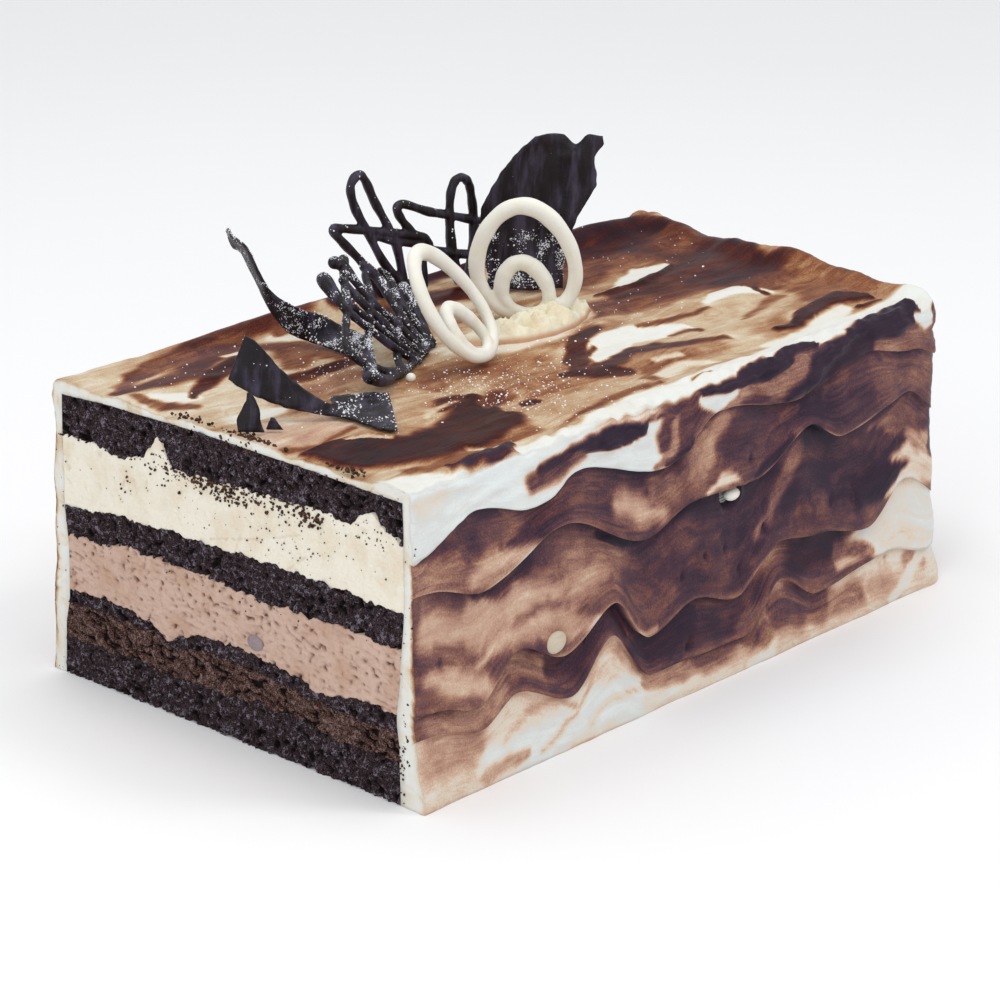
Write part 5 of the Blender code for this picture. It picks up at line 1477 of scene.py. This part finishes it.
FRONT_LATTICE = (
    (((-12.2, 33.6), (-14, 28.6), (-14.8, 24.5), (-14.2, 21.3), (-12.2, 16.7), (-7.9, 7.6), (-3, 1.5)),
     0.9, 0),
    (((-10.6, 24.6), (-8.1, 18.3), (-4.7, 9.2), (-1, 1.5)), 0, 0),
    (((-3, 30), (-3.1, 21.3), (-1.3, 13.1), (1.5, 1.5)), 0, 0),
    (((1.6, 34.6), (4.6, 32.4), (3.2, 26.5), (2.8, 18), (5, 9.7), (4.5, 1.5)), 0.7, 0),
    (((15.5, 28.2), (16.6, 24), (14.9, 20.6), (11.2, 13.7), (9, 4), (7, 1.5)), 0.5, 0),
    (((22, 24.4), (22.6, 21), (18, 16.2), (14.8, 6.8), (10.5, 1.5)), 0, 0),
    (((26, 17), (22.6, 12.7), (18.2, 7.2), (12.6, 1.5)), 0.7, 0.4),
    (((8.6, 33.4), (2, 30.6), (-6, 27), (-11.6, 23.8), (-16.3, 22.8), (-22.6, 20.8), (-28, 18.8),
      (-30.4, 16), (-29.2, 12.8), (-23.7, 8), (-17.7, 4.9), (-8, 2.2)), 0.3, 0),
    (((16.4, 27.6), (11.8, 26), (4.8, 21.2), (-2.4, 19.6), (-7.3, 17.4), (-17.7, 14.3), (-25.8, 10.4),
      (-31, 8.6)), 0, 0.9),
    (((-31, 8.4), (-26, 5.2), (-20.4, 3.9), (-9.9, 2.3)), 0.8, 0),
    (((18.4, 15.2), (8.3, 11.9), (3, 10.4), (-6.4, 7.4), (-13.8, 3)), 0, 0),
    (((-13.8, 2.4), (-6, 1.8), (4, 1.8), (12.8, 2.4)), 0, 0),
)


def smooth_curve(knots, steps):
    """Points on a Catmull-Rom curve through the knots, the ends included."""
    padded = [2 * knots[0] - knots[1], *knots, 2 * knots[-1] - knots[-2]]
    points = []
    for p0, p1, p2, p3 in zip(padded, padded[1:], padded[2:], padded[3:]):
        for step in range(steps):
            t = step / steps
            points.append(0.5 * ((2 * p1) + (p2 - p0) * t + (2 * p0 - 5 * p1 + 4 * p2 - p3) * t ** 2
                                 + (3 * p1 - p0 - 3 * p2 + p3) * t ** 3))
    points.append(knots[-1])
    return points


LATTICE_SIDES = 12
CURVE_STEPS = 8
# How far each strand lies behind the last, and how many points a blob at a strand's end takes up.
STRAND_STEP = 0.11
BLOB_POINTS = 12.0


def lattice_strands(stand, strands, radius):
    """The piped strands of a lattice, thicker where piping began and ended."""
    made = []
    for number, (knots, blob_start, blob_end) in enumerate(strands):
        line = smooth_curve([stand.at(*knot, STRAND_STEP * number) for knot in knots], CURVE_STEPS)
        radii = []
        for index, point in enumerate(line):
            point.z = max(point.z, SEAT + radius)
            from_start, from_end = index / BLOB_POINTS, (len(line) - 1 - index) / BLOB_POINTS
            wobble = 1 + 0.06 * sin(0.9 * index + number) + 0.04 * sin(0.37 * index + 2 * number)
            blobs = blob_start * exp(-from_start ** 2) + blob_end * exp(-from_end ** 2)
            radii.append(radius * wobble + blobs)
        made.append(strand(line, radii, stand.back, LATTICE_SIDES))
    return made


def dust_group():
    """A mask of icing sugar: fine specks in drifts, thicker where more has settled."""
    needs = (("Place", "Vector"), ("Amount", "Float"))
    group, given, result = new_group("sugar_dust", needs, (("Mask", "Float"),))
    drift = noise(group, given["Place"], 0.22, 2.0, 0.5)
    speck = noise(group, given["Place"], 2.6, 1.0, 0.4)
    share = maths(group, "MULTIPLY", between(group, drift, 0.38, 0.66), given["Amount"])
    edge = maths(group, "SUBTRACT", 0.80, maths(group, "MULTIPLY", share, 0.34))
    mask = between(group, maths(group, "SUBTRACT", speck, edge), 0.0, 0.05)
    group.links.new(mask, result["Mask"])
    return group


DUST = dust_group()


DARK_ROUGHNESS = 0.4
DARK_GLOSS = 0.3


def dark_finish(name, dust_amount, upward, dust_line=60.0):
    """Set dark chocolate with icing sugar on what faces up, and only below dust_line over the icing."""
    finish, tree, shader, place = new_finish(name, DARK_ROUGHNESS, DARK_GLOSS)
    drawn = put(tree, "VectorMath", {0: place, 1: (1.0, 1.0, 0.22)}, operation="MULTIPLY").outputs[0]
    sheen_streaks = noise(tree, drawn, 0.3, 3.0, 0.6)
    grain = noise(tree, place, 1.8, 3.0, 0.6)
    # The lighter purple-grey streaks drawn out up the height are painted sheen.
    colour = mixed(tree, between(tree, sheen_streaks, 0.42, 0.72), paint(28, 21, 27), paint(66, 60, 78))
    dust = tree.nodes.new("ShaderNodeGroup")
    dust.node_tree = DUST
    tree.links.new(place, dust.inputs["Place"])
    facing = put(tree, "SeparateXYZ", {0: put(tree, "NewGeometry").outputs["Normal"]}).outputs[2]
    amount = between(tree, facing, -0.2, 0.9, dust_amount * (1 - upward), dust_amount)
    height = put(tree, "SeparateXYZ", {0: place}).outputs[2]
    line = (SEAT + dust_line) * MM
    settled = between(tree, height, line - 3 * MM, line + 3 * MM, 1.0, 0.0)
    tree.links.new(maths(tree, "MULTIPLY", amount, settled), dust.inputs["Amount"])
    colour = mixed(tree, dust.outputs["Mask"], colour, paint(226, 228, 236))
    tree.links.new(colour, shader.inputs["Base Color"])
    rough = between(tree, dust.outputs["Mask"], 0.0, 1.0, DARK_ROUGHNESS, 0.8)
    tree.links.new(rough, shader.inputs["Roughness"])
    relief = maths(tree, "ADD", grain, maths(tree, "MULTIPLY", dust.outputs["Mask"], 1.5))
    raise_bump(tree, shader, relief, 0.12)
    return finish


BARE_DARK = dark_finish("dark_piped", 0.25, 0.8)
SUGARED_DARK = dark_finish("dark_sugared", 0.95, 0.5)
# Each lattice: name, node, stand, strands, strand radius and finish.
for name, node, stand, strands, radius, finish in (
        ("piped_lattice_back", "lattice_back", BACK_LATTICE_STAND, BACK_LATTICE, 1.28, BARE_DARK),
        ("piped_lattice_front", "lattice_front", FRONT_LATTICE_STAND, FRONT_LATTICE, 1.08, SUGARED_DARK)):
    lattice = fused(name, lattice_strands(stand, strands, radius), finish, LATTICE_GRAIN)
    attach(lattice, "root")
    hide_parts(node)

# The shards. Dark chocolate spread thin on film, torn or curled as it set: one tall folded leaf, a
# curled blade, a fan with a dusted foot, and two small chips by the cut edge.

# The tall leaf's outline: height, left edge, right edge. Its crest: share across, height above that.
TALL_SHARD = ((0.6, -9.9, 10.4), (6, -10.4, 10.4), (12, -11.5, 11.2), (18, -12.6, 12.7), (22, -12.6, 14.2),
              (26, -10.8, 16.6), (30, -8.9, 18.7), (34, -6.5, 18.4), (38, -3.5, 18.1), (41, -0.8, 20.3),
              (43.2, 1.9, 19.9))
TALL_CREST = ((0, 0.0), (0.2, 0.5), (0.4, 0.2), (0.6, -2.2), (0.8, 0.9), (1, 0.4))
# Heights from which the leaf's crest is torn and below which its foot curls forward.
CREST_FROM = 36
CURL_BELOW = 16
TALL_ROWS = 64
TALL_COLUMNS = 45
TALL_STAND = Stand((31, 31, SEAT), VIEW_ACROSS)
CURL_STAND = Stand((-47, 27, SEAT), VIEW_ACROSS)
# Pairs of points (across, up, back) on a leaf's two edges, from one end to the other.
CURL_EDGES = (
    ((-28.2, 31.4, 3.4), (-28.6, 30.2, 4.6)), ((-26.5, 29.6, 2), (-27.3, 26.0, 6)),
    ((-23.6, 27.6, 1.4), (-24.8, 24.0, 6.4)), ((-21.9, 24.9, 1.4), (-22.8, 20.0, 6.2)),
    ((-19.6, 19.8, 1.8), (-20.7, 16.0, 6)), ((-17.0, 15.4, 2), (-18.6, 11.6, 5.4)),
    ((-13.6, 12.8, 2.4), (-16.2, 8.0, 4)), ((-9.2, 10.2, 3.4), (-12.2, 3.8, 3)),
    ((-3.9, 8.0, 6), (-7.0, 1.6, 3.0)), ((1.6, 4.6, 7.4), (-2.6, 0.8, 1.4)),
    ((6.4, 3.6, 4.4), (2.4, 0.8, -3.4)), ((9, 2.6, 1), (6.6, 0.8, -5.6)),
)
FAN_STAND = Stand((-84, -14, SEAT), VIEW_ACROSS)
FAN_EDGES = (
    ((-25.5, 21.2, 0.4), (-29.5, 10.2, -0.4)), ((-22.1, 18.8, 0.6), (-26.3, 8.0, -0.6)),
    ((-18.3, 14.4, 0.8), (-21.8, 5.6, -0.8)), ((-14.1, 10.2, 0.8), (-17.2, 4.0, -0.8)),
    ((-9.7, 6.8, 1), (-12.4, 2.8, -0.8)), ((-5.4, 4.2, 1.4), (-7.4, 1.8, -0.6)),
    ((-3.6, 2.6, 6.4), (-2.4, 1.2, 0)), ((-5.0, 1.6, 14), (1.2, 0.9, -1.6)),
    ((0.6, 1.1, 17), (5.2, 0.9, -5)),
    ((4.6, 0.9, 19.6), (9.2, 0.9, -8)), ((9.2, 0.9, 19), (12.0, 0.9, -8.2)),
)
CHIP_STAND = Stand((-105.8, -6.9, SEAT), VIEW_ACROSS)
CHIP_EDGES = (
    ((-6.4, 0.6, 0), (0, 0.6, 0)), ((-6.8, 3.4, 0.3), (-1, 3.4, 0)), ((-5.8, 5.8, 0.6), (-1.2, 5.8, 0)),
    ((-4.7, 8.2, 0.7), (-2.1, 8.2, 0)), ((-4.1, 10.4, 0.8), (-3.5, 10.4, 0)),
)
SMALL_CHIP_STAND = Stand((-103.2, -6.4, SEAT), VIEW_ACROSS)
SMALL_CHIP_EDGES = (
    ((-1.2, 0.6, 0), (3, 0.6, 0)), ((-0.6, 2.2, 0.2), (1.8, 2.2, 0)), ((0, 3.6, 0.4), (0.7, 3.6, 0)),
)


def leaf(name, grid, thickness, finish):
    """A thin sheet of chocolate through a grid of points, thinner at its torn edge."""
    along_rows = np.gradient(grid, axis=0)
    across_rows = np.gradient(grid, axis=1)
    normal = np.cross(along_rows, across_rows)
    normal /= np.maximum(np.linalg.norm(normal, axis=2, keepdims=True), 1e-6)
    rows, columns = grid.shape[:2]
    r = np.minimum(np.arange(rows), np.arange(rows)[::-1])[:, None]
    c = np.minimum(np.arange(columns), np.arange(columns)[::-1])[None, :]
    thick = thickness / 2 * (0.45 + 0.55 * ease(np.minimum(r, c) / 2.0))[..., None]
    points = np.concatenate([(grid + normal * thick).reshape(-1, 3), (grid - normal * thick).reshape(-1, 3)])
    size = rows * columns
    faces = grid_faces(rows, columns)
    faces += [face[::-1] for face in grid_faces(rows, columns, size)]
    rim = grid_outline(rows, columns).tolist()
    for a, b in zip(rim, rim[1:] + rim[:1]):
        faces.append((a, a + size, b + size, b))
    return add_piece(name, points, faces, finish)


def finer(edges, count):
    """More rows between two edges, on smooth curves."""
    sides = [smooth_curve([Vector(pair[which]) for pair in edges], count) for which in (0, 1)]
    return np.array([[tuple(p) for p in side] for side in sides])


def edge_grid(stand, edges, steps, columns, wave, seed):
    """A grid of points between two edges, with waves, fine grooves and a torn outline."""
    one, two = finer(edges, steps)
    share = np.linspace(0, 1, columns + 1)
    local = one[:, None] + (two - one)[:, None] * share[None, :, None]
    field = local.reshape(-1, 3)
    rough = (0.25 * wander(field, 3.0, seed) + 0.10 * wander(field, 1.0, seed + 1)).reshape(local.shape[:2])
    rows = np.arange(len(local))[:, None]
    bow = wave * np.sin(pi * share)[None, :] * np.cos(0.5 * rows / steps)
    local[..., 2] += bow + rough
    torn = 0.35 * wander(flat_points(rows[:, 0] * 0.5, 0 * rows[:, 0]), 1.4, seed + 2)
    local[:, 0, 1] += torn
    local[:, -1, 1] -= torn
    axes = np.array([stand.across, stand.rise, stand.back])
    placed = np.array(stand.foot) + local @ axes
    placed[..., 2] = np.maximum(placed[..., 2], SEAT + 0.3)
    return placed


def tall_grid():
    """The tall leaf: soft lengthwise folds, a ragged crest, and a foot curled forward."""
    heights = np.linspace(TALL_SHARD[0][0], TALL_SHARD[-1][0], TALL_ROWS)
    knots = np.array(TALL_SHARD)
    left, right = [np.interp(heights, knots[:, 0], knots[:, column]) for column in (1, 2)]
    t = np.linspace(0, 1, TALL_COLUMNS)[None, :]
    height = heights[:, None]
    across = left[:, None] + (right - left)[:, None] * t
    crest = along(TALL_CREST, t[0])[None, :] * ease((height - CREST_FROM) / 7.2)
    fold = 1.6 * np.sin(pi * t) + 0.7 * np.sin(9 * t + 0.1 * height)
    curl = np.where(height < CURL_BELOW, -4.5 * (1 - height / CURL_BELOW) ** 2, 0.0) * np.sin(pi * t)
    groove = flat_points(0.25 * height + 0 * t, across)
    rough = 0.35 * wander(groove, 2.2, 95) + 0.12 * wander(groove, 0.9, 96)
    line = flat_points(height[:, 0] * 0.8, 0 * height[:, 0])
    across[:, 0] += 0.5 * wander(line, 1.8, 97)
    across[:, -1] += 0.5 * wander(line, 1.8, 98)
    local = np.stack([across, height + crest, fold + curl + rough], -1)
    axes = np.array([TALL_STAND.across, TALL_STAND.rise, TALL_STAND.back])
    return np.array(TALL_STAND.foot) + local @ axes


PLATE_DARK = dark_finish("dark_plate", 0.5, 0.7, 3.0)
TALL_DARK = dark_finish("dark_tall", 1.0, 0.1, 18.0)
DUSTED_DARK = dark_finish("dark_dusted", 1.05, 0.3)
curl_grid = edge_grid(CURL_STAND, CURL_EDGES, 6, 14, 0.5, 101)
fan_grid = edge_grid(FAN_STAND, FAN_EDGES, 7, 26, 0.4, 105)
chip_grid = edge_grid(CHIP_STAND, CHIP_EDGES, 5, 12, 0.0, 109)
small_chip_grid = edge_grid(SMALL_CHIP_STAND, SMALL_CHIP_EDGES, 5, 8, 0.0, 113)
# Each shard: name, node, grid of points, thickness and finish.
for name, node, grid, thickness, finish in (
        ("leaf_tall", "shard_tall", tall_grid(), 1.1, TALL_DARK),
        ("leaf_curl", "shard_curl", curl_grid, 0.9, DUSTED_DARK),
        ("leaf_fan", "shard_fan", fan_grid, 1.0, PLATE_DARK),
        ("leaf_chip", "shard_chip", chip_grid, 1.0, BARE_DARK),
        ("leaf_chip_small", "shard_chip_small", small_chip_grid, 1.0, BARE_DARK)):
    shard = leaf(name, grid, thickness, finish)
    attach(shard, "root")
    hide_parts(node)

# The icing sugar on the ornaments. The grains lie where the chocolate faces up, thickest low on the
# front lattice, along the curled blade and on the fan's flat foot.

# Each piece, how many grains, and how far above the icing they reach in mm.
SUGARED = (("piped_lattice_front", 460, 40), ("piped_lattice_back", 90, 40), ("leaf_curl", 420, 40),
           ("leaf_fan", 220, 2.6), ("leaf_tall", 420, 18), ("leaf_fan", 20, 30))
HIGH_GRAIN_RADII = (0.11, 0.16, 0.23, 0.3)
HIGH_GRAIN_SHARES = (0.4, 0.35, 0.18, 0.07)


def grains_on_ornaments():
    """Centres and radii of grains on the upward faces of the ornaments."""
    centres, radii = [], []
    for name, count, reach in SUGARED:
        mesh = bpy.data.objects[name].data
        size = len(mesh.vertices)
        places, normals = np.empty(size * 3), np.empty(size * 3)
        mesh.vertices.foreach_get("co", places)
        mesh.vertices.foreach_get("normal", normals)
        places, normals = places.reshape(-1, 3) / MM, normals.reshape(-1, 3)
        drift = ease((wander(places, 5.0, 121) + 0.25) / 0.6)
        chance = np.clip(normals[:, 2] + 0.25, 0, 1) * drift * (places[:, 2] < SEAT + reach)
        chosen = SUGAR_DRAW.choice(size, count, p=chance / chance.sum())
        centres += list(places[chosen] + SUGAR_DRAW.normal(0, 0.12, (count, 3)))
        radii += list(SUGAR_DRAW.choice(HIGH_GRAIN_RADII, count, p=HIGH_GRAIN_SHARES))
    return centres, radii


high_points, high_faces = small_lumps(*grains_on_ornaments(), SUGAR_DRAW)
high_sugar = add_piece("sugar_on_ornaments", high_points, high_faces, SUGAR)
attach(high_sugar, "root")

# The table, the light and the camera. The cake stands on a plain pale surface under soft white
# light from all round, a little stronger from above and from the front left.

FLOOR_HALF = 1.6
floor_mesh = bpy.data.meshes.new("table_top")
floor_corners = [(x * FLOOR_HALF, y * FLOOR_HALF, 0) for x, y in ((-1, -1), (1, -1), (1, 1), (-1, 1))]
floor_mesh.from_pydata(floor_corners, [], [(0, 1, 2, 3)])
table_top = bpy.data.objects.new("table_top", floor_mesh)
bpy.context.scene.collection.objects.link(table_top)
TABLE, table_tree, table_shader, table_place = new_finish("pale_table", 0.7)
faint = noise(table_tree, table_place, 0.004, 2.0)
table_colour = mixed(table_tree, faint, paint(250, 250, 250), paint(246, 246, 247))
table_tree.links.new(table_colour, table_shader.inputs["Base Color"])
floor_mesh.materials.append(TABLE)

SKY_COLOUR = (0.97, 0.98, 1.0, 1.0)
SKY_STRENGTH = 0.75
world = bpy.data.worlds.new("studio")
world.use_nodes = True
sky = world.node_tree.nodes["Background"].inputs
sky["Color"].default_value = SKY_COLOUR
sky["Strength"].default_value = SKY_STRENGTH
bpy.context.scene.world = world
bpy.context.scene.view_settings.view_transform = "Standard"

# Each lamp: name, place, width and watts. All point at the middle of the cake.
LAMP_AIM = Vector((0, 0, 0.05))
LAMPS = (("overhead", (-0.1, 0.1, 0.9), 0.6, 1.9), ("front_left", (-0.9, -0.35, 0.55), 0.4, 1.65),
         ("right", (0.4, -0.6, 1.0), 0.3, 2.35))
for name, place, size, watts in LAMPS:
    lamp_data = bpy.data.lights.new(name, "AREA")
    lamp_data.shape = "DISK"
    lamp_data.size = size
    lamp_data.energy = watts
    lamp = bpy.data.objects.new(name, lamp_data)
    lamp.location = place
    lamp.rotation_euler = (LAMP_AIM - Vector(place)).to_track_quat("-Z", "Y").to_euler()
    bpy.context.scene.collection.objects.link(lamp)

# The camera as fitted to the photo, with distances in mm, and its lens as a focal length in mm.
CAMERA_TURN = radians(-48.64)
CAMERA_RISE = radians(20.21)
CAMERA_ROLL = radians(1.74)
CAMERA_DISTANCE = 961.2
CAMERA_TARGET = Vector((3.23, 13.02, 29.94))
CAMERA_LENS = 127.8
SENSOR_WIDTH = 36.0
back_way = Vector((sin(CAMERA_TURN) * cos(CAMERA_RISE), -cos(CAMERA_TURN) * cos(CAMERA_RISE),
                   sin(CAMERA_RISE)))
level_right = (-back_way).cross(Vector((0, 0, 1))).normalized()
level_up = level_right.cross(-back_way)
rolled_right = level_right * cos(CAMERA_ROLL) + level_up * sin(CAMERA_ROLL)
rolled_up = -level_right * sin(CAMERA_ROLL) + level_up * cos(CAMERA_ROLL)
camera_data = bpy.data.cameras.new("camera")
camera_data.sensor_width = SENSOR_WIDTH
camera_data.lens = CAMERA_LENS
camera_data.clip_start = 0.05
camera = bpy.data.objects.new("camera", camera_data)
turned = Matrix((rolled_right, rolled_up, back_way)).transposed().to_4x4()
turned.translation = (CAMERA_TARGET + back_way * CAMERA_DISTANCE) * MM
camera.matrix_world = turned
bpy.context.scene.collection.objects.link(camera)
bpy.context.scene.camera = camera
